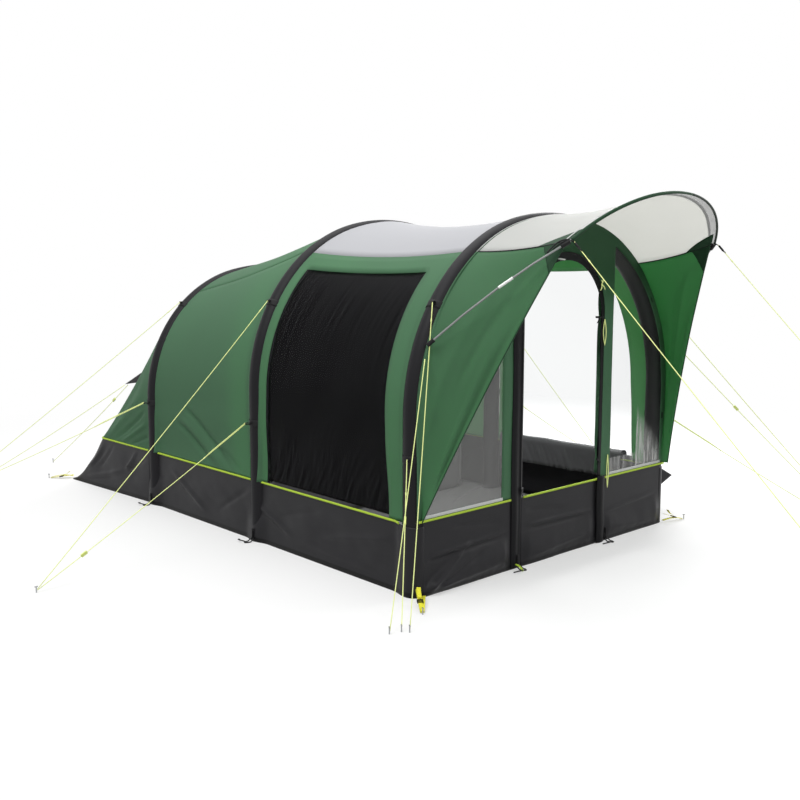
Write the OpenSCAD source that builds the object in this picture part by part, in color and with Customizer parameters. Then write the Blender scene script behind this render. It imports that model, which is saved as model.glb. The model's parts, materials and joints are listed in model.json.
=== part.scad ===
// Inflatable tunnel tent with a hooped porch canopy, pitched and guyed out.
// Millimetres. The front faces -Y, the ground is z = 0 and the origin is the middle of the floor.

/* [Air frame] */
// Width over the front beam
front_w = 2460; // [2440:10:2480]
// Width over the middle beam
tent_w = 2400; // [2380:10:2420]
// Height over the front and middle beams
tent_h = 2130; // [2100:10:2160]
// Straight leg of the front and middle beams
leg_h = 990; // [970:10:1010]
// Width over the rear beam
rear_w = 2368; // [2340:4:2380]
// Height over the rear beam
rear_h = 1820; // [1800:10:1840]
// Straight leg of the rear beam
rear_leg_h = 800; // [790:10:820]
// Angle of the shoulder bend, before the flatter crown
shoulder_a = 78; // [77:0.5:79]
// Diameter of an inflated beam in its sleeve
beam_d = 124; // [120:2:128]
// Wall of a beam sleeve
sleeve_t = 2; // [1.5:0.5:3]

/* [Bays] */
// Front beam, from the middle of the floor
front_y = -2050; // [-2060:5:-2040]
// Front beam to middle beam
living_l = 1500; // [1480:10:1520]
// Middle beam to rear beam
sleeping_l = 1370; // [1350:10:1390]
// Rear beam to the rear ground edge
tail_l = 1320; // [1300:10:1340]
// How far the roof sags between two beams
roof_sag = 45; // [20:5:60]

/* [Cloth] */
// Thickness of the walls and roofs
cloth_t = 3; // [2:0.5:4]
// Thickness of the clear film
film_t = 1; // [1:0.5:2]
// Height of the side and rear mud walls, up to the piping
mud_h = 402; // [390:2:415]
// Height of the front mud wall, up to the piping
front_mud_h = 430; // [420:2:440]
// How far the side walls flare out at the piping
wall_flare = 25; // [15:1:30]
// How far the mud wall flares out at the ground
mud_flare = 42; // [35:1:50]
// Radius of the piping
piping_r = 6; // [4:0.5:7]

/* [Porch] */
// Half the width between the tips of the canopy hoop
tip_x = 707; // [695:1:720]
// How far the tips stand before the front beam's face
tip_out = 615; // [600:5:630]
// Height of the tips
tip_z = 1943; // [1930:1:1955]
// How far the brow stands before the front beam's face
brow_out = 814; // [800:2:830]
// Height of the brow
brow_z = 2207; // [2195:1:2215]
// Half angle of the hoop
hoop_a = 63.5; // [62:0.5:65]
// Diameter of the canopy pole
pole_d = 11; // [9:0.5:12]
// Height of the pole pockets on the front beam
pocket_z = 1400; // [1390:5:1410]

/* [Front wall] */
// Left edge of the doorway
door_left = -340; // [-350:5:-330]
// Right edge of the doorway
door_right = 440; // [435:5:450]
// Top of the doorway
door_top = 1890; // [1870:5:1900]
// Corner radius of the doorway
door_corner = 385; // [340:5:385]
// Border between the front windows and the beam
window_border = 68; // [60:2:80]
// Left edge of the rolled door, behind the wall
roll_x = 440; // [436:2:446]
// Diameter of the rolled door
roll_d = 90; // [84:2:94]

/* [Guylines] */
// Diameter of a guyline
guy_d = 5; // [4:0.5:6]
// Width of the corner webbing
webbing_w = 25; // [20:1:30]

/* [Hidden] */

$fn = 48;
far = 3000;
gap = 0.4;
beam_r = beam_d / 2;
mid_y = front_y + living_l;
rear_y = mid_y + sleeping_l;
back_y = rear_y + tail_l;
face_y = front_y - beam_r;
seam_w = 1.7;        // where the roof meets the side walls, along the arch
window_w = 1.594;    // top of the side windows, along the arch
edge = beam_r + 2;   // cloth edge, from a beam's middle
seam_z = 2.5;        // from the piping's middle to the cloth above and below it

// An arch is [half width, height, leg, shoulder radius, crown radius].
function arch_of(half, h, leg) =
  let (c = cos(shoulder_a), s = sin(shoulder_a), rise = h - leg,
       det = (1 - c) * (1 - s) - c * s)
  [half, h, leg, (half * (1 - s) - c * rise) / det, ((1 - c) * rise - s * half) / det];
wide = arch_of(front_w / 2, tent_h, leg_h);
tall = arch_of(tent_w / 2, tent_h, leg_h);
low = arch_of(rear_w / 2, rear_h, rear_leg_h);

function mix(a, b, t) = a + (b - a) * t;
function unit(v) = v / norm(v);
function flip_x(p) = [-p.x, p.y, p.z];

// Turn of the arch's outward normal: 0 on the left leg, 90 at the crown, 180 on the right leg.
function turn(u) =
  u > 3 ? 180 - turn(6 - u) :
  u <= 1 ? 0 :
  u <= 2 ? shoulder_a * (u - 1) : shoulder_a + (90 - shoulder_a) * (u - 2);
function arch_out(u) = [-cos(turn(u)), sin(turn(u))];

// Point of an arch, x and z: u is 0 to 1 on the leg, 2 at the shoulder's end, 3 at the crown.
function arch_at(a, u, inset = beam_r) =
  u > 3 ? let (p = arch_at(a, 6 - u, inset)) [-p.x, p.y] :
  u <= 1 ? [inset - a[0], a[2] * u] :
  u <= 2 ? [a[3] - a[0], a[2]] + (a[3] - inset) * arch_out(u) :
  [0, a[1] - a[4]] + (a[4] - inset) * arch_out(u);

// Along a wall: 0 just over the piping, 1 at the top of the leg, then as along the arch.
function over_mud(w, leg) =
  w > 3 ? 6 - over_mud(6 - w, leg) : w >= 1 ? w : mix((mud_h + seam_z) / leg, 1, w);
function flare(w) = let (k = min(w, 6 - w)) k < 1 ? wall_flare * (1 - k) * (1 - k) : 0;
function dip_share(w) = let (k = min(w, 6 - w)) k < 1 ? 0.4 * k : 0.4 + 0.3 * (k - 1);

// Cloth between two arches; d is the offset along the arch's normal.
function bay(a, y0, b, y1, sag) = function (w, v, d)
  let (u = over_mud(w, mix(a[2], b[2], v)),
       p = mix(arch_at(a, u), arch_at(b, u), v),
       q = p + arch_out(u) * (d + flare(w) - sag * 4 * v * (1 - v) * dip_share(w)))
  [q.x, mix(y0, y1, v), q.y];
living = bay(wide, front_y + edge, tall, mid_y - edge, roof_sag);
sleeping = bay(tall, mid_y + edge, low, rear_y - edge, roof_sag);

// A surface with its normal found from the surface itself.
step = 0.004;
function thick(g) = function (u, v, d)
  g(u, v) + d * unit(cross(g(u + step, v) - g(u - step, v), g(u, v + step) - g(u, v - step)));

// Plan of the rear wall at a height share h: along the left side, round the corner, along the back.
corner_w = 1.4;
corner_round = 0.1;
corner_low = [-1232, back_y];
corner_high = [-1150, back_y - 440];
function rear_run(w, h) =
  let (c = mix(corner_low, corner_high, h),
       s = [arch_at(low, 0.3).x - mix(mud_flare, wall_flare, h), rear_y + edge + 30])
  w <= corner_w ? mix(s, c, w / corner_w) : [mix(c.x, 0, (w - corner_w) / (3 - corner_w)), c.y];
function rear_plan(w, h) =
  w > 3 ? let (p = rear_plan(6 - w, h)) [-p.x, p.y] :
  abs(w - corner_w) >= corner_round ? rear_run(w, h) :
  let (t = (w - corner_w + corner_round) / (2 * corner_round),
       a = rear_run(corner_w - corner_round, h),
       b = rear_run(corner_w, h),
       c = rear_run(corner_w + corner_round, h))
  mix(mix(a, b, t), mix(b, c, t), t);

// Sloping rear end, from the rear beam to the piping.
tail_sag = 30;
tail = thick(function (w, t)
  let (u = over_mud(w, low[2]), p = arch_at(low, u) + arch_out(u) * flare(w), e = rear_plan(w, 1),
       a = [p.x, rear_y + edge, p.y], b = [e.x, e.y, mud_h + seam_z])
  mix(a, b, t) - [0, 1, 0.6] * tail_sag * 4 * t * (1 - t) * min(1, min(w, 6 - w) / 2));
rear_skirt = thick(function (w, h)
  let (e = rear_plan(w, h)) [e.x, e.y, (mud_h - seam_z) * h]);

// Canopy: from the front beam to the hoop.
tip_y = face_y - tip_out;
brow_y = face_y - brow_out;
function hoop(s, back = 0) =
  let (k = (cos(s * hoop_a) - cos(hoop_a)) / (1 - cos(hoop_a)))
  [tip_x * sin(s * hoop_a) / sin(hoop_a), mix(tip_y, brow_y, k) + back, mix(tip_z, brow_z, k)];
canopy_sag = 28;
canopy = thick(function (s, t)
  let (p = arch_at(wide, mix(seam_w, 6 - seam_w, (s + 1) / 2)), q = hoop(s, 18),
       a = [p.x, face_y - 2, p.y])
  mix(a, q, t) - [0, 0, canopy_sag * 4 * t * (1 - t)]);

// Left wing: from the front beam to its hollow-cut front edge.
wing_foot = [-1206, face_y - 40, front_mud_h + 12];
wing_hollow = 26;
wing_drop = 6;
left_wing_at = thick(function (a, b)
  let (p = arch_at(wide, mix((front_mud_h + 14) / leg_h, seam_w, a)),
       edge_in = [p.x, face_y - 2, p.y],
       edge_out = mix(wing_foot, [-tip_x, tip_y + 18, tip_z], a)
                  + [0, 1, 0] * wing_hollow * 4 * a * (1 - a))
  mix(edge_in, edge_out, b) - [0, 0, wing_drop + canopy_sag * 4 * b * (1 - b) * a * a]
  + [0.8, 0.5, 0] * 22 * 4 * b * (1 - b) * a);

// Closed sheet over a grid; keep says which cells are cloth.
module sheet(f, us, vs, t, keep = function (i, j) true) {
  n = len(us);
  m = len(vs);
  at = function (i, j, k) (k * n + i) * m + j;
  on = function (i, j) i >= 0 && i < n - 1 && j >= 0 && j < m - 1 && keep(i, j);
  wall = function (a, b) [[at(a.x, a.y, 0), at(b.x, b.y, 0), at(b.x, b.y, 1)],
                          [at(a.x, a.y, 0), at(b.x, b.y, 1), at(a.x, a.y, 1)]];
  cells = [for (i = [0:n - 2]) for (j = [0:m - 2]) if (keep(i, j)) [i, j]];
  faces = [for (c = cells) let (i = c.x, j = c.y) each concat(
    [[at(i, j, 0), at(i, j + 1, 0), at(i + 1, j + 1, 0)],
     [at(i, j, 0), at(i + 1, j + 1, 0), at(i + 1, j, 0)],
     [at(i, j, 1), at(i + 1, j + 1, 1), at(i, j + 1, 1)],
     [at(i, j, 1), at(i + 1, j, 1), at(i + 1, j + 1, 1)]],
    on(i, j - 1) ? [] : wall([i, j], [i + 1, j]),
    on(i, j + 1) ? [] : wall([i + 1, j + 1], [i, j + 1]),
    on(i - 1, j) ? [] : wall([i, j + 1], [i, j]),
    on(i + 1, j) ? [] : wall([i + 1, j], [i + 1, j + 1]))];
  polyhedron([for (d = [t / 2, -t / 2]) for (u = us) for (v = vs) f(u, v, d)], faces);
}

function steps(a, b, n) = [for (i = [0:n]) mix(a, b, i / n)];

// Tube along points, with flat ends.
module tube_along(points, r, sides = 8, swell = []) {
  n = len(points);
  size = function (i) r * (len(swell) > 0 ? swell[i] : 1);
  dirs = [for (i = [0:n - 1]) unit(points[min(i + 1, n - 1)] - points[max(i - 1, 0)])];
  rings = [for (i = [0:n - 1])
    let (e1 = unit(cross(dirs[i], abs(dirs[i].z) > 0.95 ? [0, 1, 0] : [0, 0, 1])), e2 = cross(e1, dirs[i]))
    each [for (k = [0:sides - 1])
      points[i] + size(i) * (cos(360 * k / sides) * e1 + sin(360 * k / sides) * e2)]];
  faces = concat(
    [[for (k = [0:sides - 1]) sides - 1 - k]],
    [for (i = [0:n - 2]) for (k = [0:sides - 1])
      let (a = i * sides + k, b = i * sides + (k + 1) % sides)
      each [[a, b, b + sides], [a, b + sides, a + sides]]],
    [[for (k = [0:sides - 1]) (n - 1) * sides + k]]);
  polyhedron(rings, faces);
}

// Stands its children's z axis along a direction.
module along(from, to) {
  d = to - from;
  translate(from) rotate([0, acos(d.z / norm(d)), atan2(d.y, d.x)]) children();
}

// The sewn lengths of a beam sleeve, foot to foot; the child is the section.
seam = 0.05;
arc_fn = 240;
function arc_turn(r) = asin(seam / r);
module sleeve_lengths(a, foot) {
  crown_r = a[4] - beam_r;
  for (m = [0, 1]) mirror([m, 0, 0]) {
    translate([a[0] - beam_r, 0, foot]) linear_extrude(a[2] - foot - seam) children();
    translate([a[0] - a[3], 0, a[2]]) rotate([90, 0, 0])
      rotate_extrude(angle = shoulder_a, $fn = arc_fn) translate([a[3] - beam_r, 0]) children();
  }
  translate([0, 0, a[1] - a[4]]) rotate([90, 0, 0]) rotate([0, 0, shoulder_a + arc_turn(crown_r)])
    rotate_extrude(angle = 180 - 2 * shoulder_a - 2 * arc_turn(crown_r), $fn = arc_fn)
      translate([crown_r, 0]) children();
}

foot_t = 3;
module beam_sleeve(a, y) color("#28262a") translate([0, y, 0]) {
  sleeve_lengths(a, foot_t) difference() {
    circle(beam_r);
    circle(beam_r - sleeve_t);
  }
  for (s = [-1, 1]) translate([s * (a[0] - beam_r), 0, 0]) cylinder(r = beam_r, h = foot_t - seam);
}

// An inflated bladder runs through its sleeve and narrows to its welded ends.
bladder_gap = 2;
bladder_r = beam_r - sleeve_t - bladder_gap;
bladder_t = 1.5;
bladder_foot = 40;
bladder_us = concat([0.12, 0.5], steps(1, 2, 14), [2.33, 2.67, 3]);
module bladder_form(a, y, r, foot) {
  half = [for (u = bladder_us) arch_at(a, u)];
  mids = concat(half, [for (i = [len(half) - 2:-1:0]) [-half[i].x, half[i].y]]);
  x = half[0].x;
  ends = [[x, foot, 0.35], [x, foot + 25, 0.8]];
  stations = concat(ends, [for (p = mids) [p.x, p.y, 1]], [for (e = [ends[1], ends[0]]) [-e.x, e.y, e.z]]);
  tube_along([for (s = stations) [s.x, y, s.y]], r, 12, [for (s = stations) s.z]);
}
module air_bladder(a, y) color("#c9ccd0") difference() {
  bladder_form(a, y, bladder_r, bladder_foot);
  bladder_form(a, y, bladder_r - bladder_t, bladder_foot + bladder_t);
}

module front_beam_sleeve() beam_sleeve(wide, front_y);
module middle_beam_sleeve() beam_sleeve(tall, mid_y);
module rear_beam_sleeve() beam_sleeve(low, rear_y);
module front_air_bladder() air_bladder(wide, front_y);
module middle_air_bladder() air_bladder(tall, mid_y);
module rear_air_bladder() air_bladder(low, rear_y);

// Inflation valves on the inner side of the left legs, with hinged caps.
valve_z = 360;
valve_bore_r = 11;
valve_neck_r = 16;
valve_flange_r = 26;
valve_len = 24;
valve_lug_z = 22;
cap_t = 4;
function valve_x(a) = beam_d + gap - a[0];
module valve_body(a, y) translate([valve_x(a), y, valve_z]) rotate([0, 90, 0]) difference() {
  union() {
    cylinder(r = valve_flange_r, h = 5);
    cylinder(r = valve_neck_r, h = valve_len);
  }
  translate([0, 0, 3]) cylinder(r = valve_bore_r, h = valve_len);
}
module valve_bodies() color("#4a4c50") {
  valve_body(wide, front_y);
  valve_body(tall, mid_y);
  valve_body(low, rear_y);
}
module valve_cap(a, y) color("#2f3134")
  translate([valve_x(a) + valve_len + gap, y, valve_z]) {
    rotate([0, 90, 0]) cylinder(r = valve_neck_r, h = cap_t);
    translate([0, -6, 10]) cube([cap_t, 12, valve_lug_z - 10]);
    translate([cap_t / 2, 0, valve_lug_z]) rotate([90, 0, 0]) cylinder(r = cap_t / 2, h = 16, center = true);
  }
module front_valve_cap() valve_cap(wide, front_y);
module middle_valve_cap() valve_cap(tall, mid_y);
module rear_valve_cap() valve_cap(low, rear_y);

// Living bay: pale roof, side walls with one large window each.
wall_ws = [0, 0.33, 0.67, 1, 1.12, 1.24, 1.36, 1.48, window_w, seam_w];
window_front = [0.085, 0.125];   // bottom and top of the window's front edge, along the bay
window_rear = [0.965, 0.95];
function pane_v(w, v) =
  let (k = min(w, 6 - w) / window_w)
  v <= 1 ? v * mix(window_front[0], window_front[1], k) :
  v <= 2 ? mix(mix(window_front[0], window_front[1], k), mix(window_rear[0], window_rear[1], k), v - 1) :
  mix(mix(window_rear[0], window_rear[1], k), 1, v - 2);
paned = function (w, v, d) living(w, pane_v(w, v), d);
pane_steps = [0, 1, 1.2, 1.4, 1.6, 1.8, 2, 3];
function mirrored(ws) = [for (i = [len(ws) - 1:-1:0]) 6 - ws[i]];
seam_gap = 0.002;

module living_roof_panel() color("#d4d5d9")
  sheet(living, steps(seam_w + seam_gap, 6 - seam_w - seam_gap, 14), steps(0, 1, 6), cloth_t);

module left_window_frame() color("#486e50")
  sheet(paned, wall_ws, pane_steps, cloth_t,
    function (i, j) i == len(wall_ws) - 2 || j == 0 || j == len(pane_steps) - 2);
module right_window_frame() color("#486e50")
  sheet(paned, mirrored(wall_ws), pane_steps, cloth_t,
    function (i, j) i == 0 || j == 0 || j == len(pane_steps) - 2);

film_ws = [for (w = wall_ws) if (w <= window_w) min(w, window_w - seam_gap)];
film_vs = [1.001, 1.2, 1.4, 1.6, 1.8, 1.999];
module left_window_film() color("#1b1b1d", 0.5) sheet(paned, film_ws, film_vs, film_t);
module right_window_film() color("#dfe5e6", 0.3) sheet(paned, mirrored(film_ws), film_vs, film_t);

// The left blind is zipped up behind its film, the right one is rolled down to the sill.
blind_in = 14;
blind_t = 2;
blind_ws = [0.03, 0.33, 0.67, 1, 1.12, 1.24, 1.36, 1.48, 1.56];
module left_blind() color("#1b1b1d")
  sheet(function (w, v, d) paned(w, v, d - blind_in), blind_ws, film_vs, blind_t);
hem_r = 6;
hem_w = 1.578;
module left_blind_hem() color("#161618")
  tube_along([for (v = film_vs) paned(hem_w, v, -blind_in)], hem_r);

// Rolled cloth: a spiral band, pulled out along its axis.
roll_turns = 3;
roll_core = 14;      // radius where the innermost turn starts
function spiral(r0, r1, a) = mix(r0, r1, a / (360 * roll_turns)) * [cos(a), sin(a)];
module rolled_cloth(r, band, l) {
  pitch = (r - roll_core) / roll_turns;
  angles = [0:18:360 * roll_turns];
  linear_extrude(l) polygon(concat(
    [for (a = angles) spiral(roll_core, r, a)],
    [for (i = [0:len([for (a = angles) a]) - 1])
      let (a = 360 * roll_turns - 18 * i) spiral(roll_core - band * pitch, r - band * pitch, a)]));
}
blind_roll_d = 84;
blind_roll_z = 452;
module right_blind_roll() color("#222225") {
  a = paned(5.97, 1.03, 0) - [blind_roll_d / 2 + 8, 0, 0];
  b = paned(5.97, 1.97, 0) - [blind_roll_d / 2 + 8, 0, 0];
  translate([0, 0, blind_roll_z - a.z]) along(a, b)
    rotate([0, 0, 30]) rolled_cloth(blind_roll_d / 2, 0.8, norm(b - a));
}

// Sleeping bay and sloping rear end.
module rear_roof_panel() color("#4f7858")
  sheet(sleeping, steps(seam_w + seam_gap, 6 - seam_w - seam_gap, 14), steps(0, 1, 6), cloth_t);
module rear_left_panel() color("#486e50")
  sheet(sleeping, wall_ws, steps(0, 1, 6), cloth_t);
module rear_right_panel() color("#486e50")
  sheet(sleeping, mirrored(wall_ws), steps(0, 1, 6), cloth_t);
tail_half = [0, 0.3, 0.6, 0.9, 1.1, 1.22, 1.3, 1.35, 1.4, 1.45, 1.5, 1.6, 1.75, 2, 2.35, 2.7, 3];
tail_ws = concat(tail_half, [for (i = [len(tail_half) - 2:-1:0]) 6 - tail_half[i]]);
module rear_end_panel() color("#486e50")
  sheet(tail, tail_ws, steps(0, 1, 6), cloth_t);

// Mud walls: black, flared at the ground, cut at the beams.
function skirt(a, y0, b, y1, side) = function (h, v, d)
  let (out = wall_flare + (mud_flare - wall_flare) * (1 - h) * (1 - h) - beam_r)
  [side * (mix(a[0], b[0], v) + out + d), mix(y0, y1, v), (mud_h - seam_z) * h];
skirt_hs = [0, 0.25, 0.6, 1];
module mud_pair(side) color("#3c3b3f") {
  order = side < 0 ? skirt_hs : [for (i = [3:-1:0]) skirt_hs[i]];
  sheet(skirt(wide, front_y + edge, tall, mid_y - edge, side), order, steps(0, 1, 4), cloth_t);
  sheet(skirt(tall, mid_y + edge, low, rear_y - edge, side), order, steps(0, 1, 4), cloth_t);
}
module left_mud_wall() mud_pair(-1);
module right_mud_wall() mud_pair(1);
skirt_start = -0.045;   // back to the rear beam's flank
module rear_mud_wall() color("#3c3b3f")
  sheet(function (w, h, d) rear_skirt(w, h, -d),
    concat([skirt_start], tail_ws, [6 - skirt_start]), [1, 0.6, 0.3, 0], cloth_t);

// Flat pieces of the front wall stand in the x and z plane.
front_wall_y = face_y - 1.5;
front_half = front_w / 2 - 18;
module upright(y, t) translate([0, y, 0]) rotate([90, 0, 0]) linear_extrude(t) children();
flap_w = 96;
module front_mud_wall() color("#3c3b3f") upright(front_wall_y, cloth_t) {
  translate([-front_half, 0]) square([front_half + door_left - 4, front_mud_h - seam_z]);
  translate([door_right + 4, 0]) square([front_half - door_right - 4, front_mud_h - seam_z]);
}
module door_threshold() color("#343337") upright(front_wall_y, cloth_t)
  translate([door_left - 2, 0]) square([door_right - door_left + 4, front_mud_h - seam_z]);

// Piping on the top edge of every mud wall.
piping_off = cloth_t / 2 + piping_r + gap;
module piping_run(p, q) along(p, q) cylinder(r = piping_r, h = norm(q - p));
module piping() color("#b4d246") {
  run = edge + 4;
  for (s = [-1, 1]) {
    x = function (a) s * (a[0] - beam_r + wall_flare + piping_off);
    piping_run([x(wide), front_y + run, mud_h], [x(tall), mid_y - run, mud_h]);
    piping_run([x(tall), mid_y + run, mud_h], [x(low), rear_y - run, mud_h]);
  }
  y = front_wall_y - cloth_t - piping_r - gap;
  piping_run([-front_half, y, front_mud_h], [door_left - flap_w - 4, y, front_mud_h]);
  piping_run([door_left + 16, y, front_mud_h], [front_half, y, front_mud_h]);
  tube_along([for (w = tail_ws) rear_skirt(w, 1, -piping_off - cloth_t) + [0, 0, seam_z]], piping_r);
}

sheet_t = 3;
module groundsheet() color("#2e2d31") {
  half = tent_w / 2 - beam_d - 30;
  linear_extrude(sheet_t) polygon([
    [-half, face_y + 40], [half, face_y + 40], [half, rear_y],
    [1150, back_y - 60], [-1150, back_y - 60], [-half, rear_y]]);
}

// Porch canopy: roof, wings, hooped pole in its brow sleeve.
canopy_ss = steps(-0.995, 0.995, 16);
module canopy_roof() color("#d6d4ce") sheet(canopy, canopy_ss, [1, 0.83, 0.66, 0.5, 0.33, 0.16, 0], cloth_t);
wing_as = steps(0, 1, 10);
module left_wing() color("#3f7a4c") sheet(left_wing_at, wing_as, [0.98, 0.8, 0.6, 0.4, 0.2, 0], cloth_t);
module right_wing() color("#2d693a") mirror([1, 0, 0])
  sheet(left_wing_at, wing_as, [0.98, 0.8, 0.6, 0.4, 0.2, 0], cloth_t);

pole_r = pole_d / 2;
pocket = [-1150, face_y - 26, pocket_z];
tip = [-tip_x, tip_y, tip_z];
pole_bow = 30;
function pole_at(t) = mix(pocket, tip, t) + [0, 0, pole_bow * 4 * t * (1 - t)];
module canopy_pole() color("#8f9092") {
  left = [for (t = [0.02, 0.25, 0.5, 0.75, 0.97]) pole_at(t)];
  tube_along(concat(left, [for (s = steps(-0.97, 0.97, 24)) hoop(s)],
    [for (i = [4:-1:0]) flip_x(left[i])]), pole_r);
}
module brow_sleeve() color("#5a5b60") difference() {
  tube_along([for (s = steps(-0.95, 0.95, 24)) hoop(s)], 14);
  tube_along([for (s = steps(-0.96, 0.96, 24)) hoop(s)], 9);
}
ferrule_l = 90;
module pole_ferrules() color("#e8e8e6")
  for (m = [0, 1]) mirror([m, 0, 0])
    along(pole_at(0.5), pole_at(0.75)) difference() {
      cylinder(r = pole_r + 2.5, h = ferrule_l);
      translate([0, 0, -1]) cylinder(r = pole_r + gap, h = ferrule_l + 2);
    }
pocket_l = 46;
module pole_pockets() color("#1d1d1f")
  for (m = [0, 1]) mirror([m, 0, 0])
    along(pole_at(-0.008), pole_at(0.25)) difference() {
      cylinder(r = 12, h = pocket_l);
      translate([0, 0, 6]) cylinder(r = pole_r + 2, h = pocket_l);
    }

// Front wall with the doorway and two clear windows.
wall_inset = beam_r + 14;   // clear of the wings and the canopy, which start on the beam
arch_us = concat(steps(1, 2, 14), steps(2.2, 3, 4));
function arch_line(a, inset, start) =
  let (half = [for (u = concat([start], arch_us)) arch_at(a, u, inset)])
  concat(half, [for (i = [len(half) - 2:-1:0]) [-half[i].x, half[i].y]]);
module above(z, x0, x1) translate([x0, z]) square([x1 - x0, far]);
module doorway() {
  translate([door_left, 0]) square([door_right - door_left, door_top - door_corner]);
  for (x = [door_left + door_corner, door_right - door_corner])
    translate([x, door_top - door_corner]) circle(door_corner);
  translate([door_left + door_corner, 0]) square([door_right - door_left - 2 * door_corner, door_top]);
}
window_z = 455;
panes = [[-1200, -519], [556, 1200]];
module pane(p, shrink) intersection() {
  polygon(arch_line(wide, beam_r + window_border + shrink, 0.4));
  above(window_z + shrink, p[0] + shrink, p[1] - shrink);
}
module front_wall_panel() color("#42694c") upright(front_wall_y, cloth_t) difference() {
  intersection() {
    polygon(arch_line(wide, wall_inset, 0.4));
    above(front_mud_h + seam_z, -far, far);
  }
  doorway();
  for (p = panes) pane(p, 0);
}
module front_window_films() color("#dfe5e6", 0.3)
  upright(front_wall_y - 1, film_t) for (p = panes) pane(p, gap);

// The door is rolled to the right, inside the wall, and tied in three places.
roll_y = front_wall_y + roll_d / 2 + 12;
roll_mid = roll_x + roll_d / 2;
roll_low = 445;
roll_high = 1800;
module door_roll() color("#42694c") translate([roll_mid, roll_y, roll_low]) rotate([0, 0, 150])
  rolled_cloth(roll_d / 2, 0.8, roll_high - roll_low);
tie_zs = [520, 1210, 1640];
tie_r = 3;
module door_ties() color("#c6dc50") for (z = tie_zs) translate([roll_mid, roll_y, z]) {
  rotate_extrude() translate([roll_d / 2 + tie_r + 1, 0]) circle(tie_r);
  translate([-roll_d / 2 - 3, -14, -4]) rotate([0, 90, 200]) cylinder(r = 6, h = 34);
}

// Zip along the doorway's left edge, under a black rain flap.
flap_t = 3;
module door_zip_flap() color("#1e1d20") upright(front_wall_y - cloth_t - 4, flap_t)
  translate([door_left - flap_w, 6]) square([flap_w, 1790]);
zip_x = door_left - 10;
zip_y = front_wall_y - cloth_t - 4 - flap_t - gap;
zip_w = 9;
zip_low = front_mud_h + 20;
zip_top = 1760;
module door_zip_tape() color("#101011") upright(zip_y, 3)
  translate([zip_x - zip_w / 2, zip_low]) square([zip_w, zip_top - zip_low]);
module door_zip_slider() color("#2b2b2d") translate([zip_x, zip_y, zip_low + 20]) {
  difference() {
    translate([-9, -8.4, 0]) cube([18, 8.4, 22]);
    translate([-zip_w / 2 - 0.5, -4, -1]) cube([zip_w + 1, 5, 24]);
  }
  translate([-4, -11.4, -26]) cube([8, 2.5, 40]);
  translate([-3, -9.4, 6]) cube([6, 1.5, 6]);
}

// Stiffened vent hoods: one across the rear panel, one low on the right mud wall.
hood_w = 1.56;       // where the rear hood ends, along the rear panel
hood_z = 930;
hood_out = 350;
hood_drop = 90;
function tail_share(w) = let (z = arch_at(low, w).y) (z - hood_z) / (z - mud_h);
function hood_at(w, k) =
  let (p = tail(w, tail_share(w), 9)) p + k * [0, hood_out, -hood_drop] + [0, 6, 0];
hood_half_ws = [hood_w, 1.7, 1.9, 2.2, 2.6, 3];
hood_ws = concat(hood_half_ws, [for (i = [4:-1:0]) 6 - hood_half_ws[i]]);
rear_hood = thick(function (w, k) hood_at(w, k));
module rear_vent_hood() color("#1d1d1f") sheet(rear_hood, hood_ws, [0, 0.5, 1], cloth_t);
hood_tip = hood_at(hood_w, 1);

side_hood_y = -1972;
side_hood_l = 300;
side_hood_x = front_w / 2 - beam_r + mud_flare;
side_hood_out = 320;
side_hood_z = [435, 265, 150];   // top, lip and lower end of its cheeks
module side_vent_hood() color("#1d1d1f")
  translate([side_hood_x, side_hood_y + side_hood_l, 0]) rotate([90, 0, 0]) difference() {
    linear_extrude(side_hood_l) polygon([
      [0, side_hood_z[0]], [side_hood_out, side_hood_z[1]], [0, side_hood_z[2]]]);
    translate([0, 0, cloth_t]) linear_extrude(side_hood_l - 2 * cloth_t) polygon([
      [-1, side_hood_z[0] - cloth_t - 1], [side_hood_out - 12, side_hood_z[1] - 1],
      [side_hood_out, side_hood_z[1] - 8], [side_hood_out, 0], [-1, 0]]);
  }

// Bedroom inner tent, hung inside the sleeping bay.
bedroom_in = beam_r + 150;
bedroom_y = -370;
bedroom_back = 1080;
bedroom_slope = 1;     // how fast its roof falls behind the rear beam
module bedroom_front_wall() color("#9a9a9c") upright(bedroom_y, cloth_t)
  polygon(arch_line(tall, bedroom_in + 40, 0.008));
bedroom_us = concat([0.01, 0.5], steps(1, 2, 6), [2.5, 3]);
bedroom_all = concat(bedroom_us, [for (i = [len(bedroom_us) - 2:-1:0]) 6 - bedroom_us[i]]);
function bedroom_share(y) = (y - mid_y) / sleeping_l;
function bedroom_fall(t) = t > 1 ? 1 - bedroom_slope * (t - 1) : 1;
module bedroom_shell() color("#a9a9ab") {
  sheet(function (u, y, d)
    let (t = bedroom_share(y),
         p = mix(arch_at(tall, u, bedroom_in), arch_at(low, u, bedroom_in), min(t, 1)),
         q = [p.x, p.y * bedroom_fall(t)] + arch_out(u) * d)
    [q.x, y, q.y], bedroom_all, [bedroom_y + 6, 250, rear_y, bedroom_back], cloth_t);
  upright(bedroom_back + cloth_t + gap, cloth_t) scale([1, bedroom_fall(bedroom_share(bedroom_back))])
    polygon(arch_line(low, bedroom_in, 0.01));
}

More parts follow.
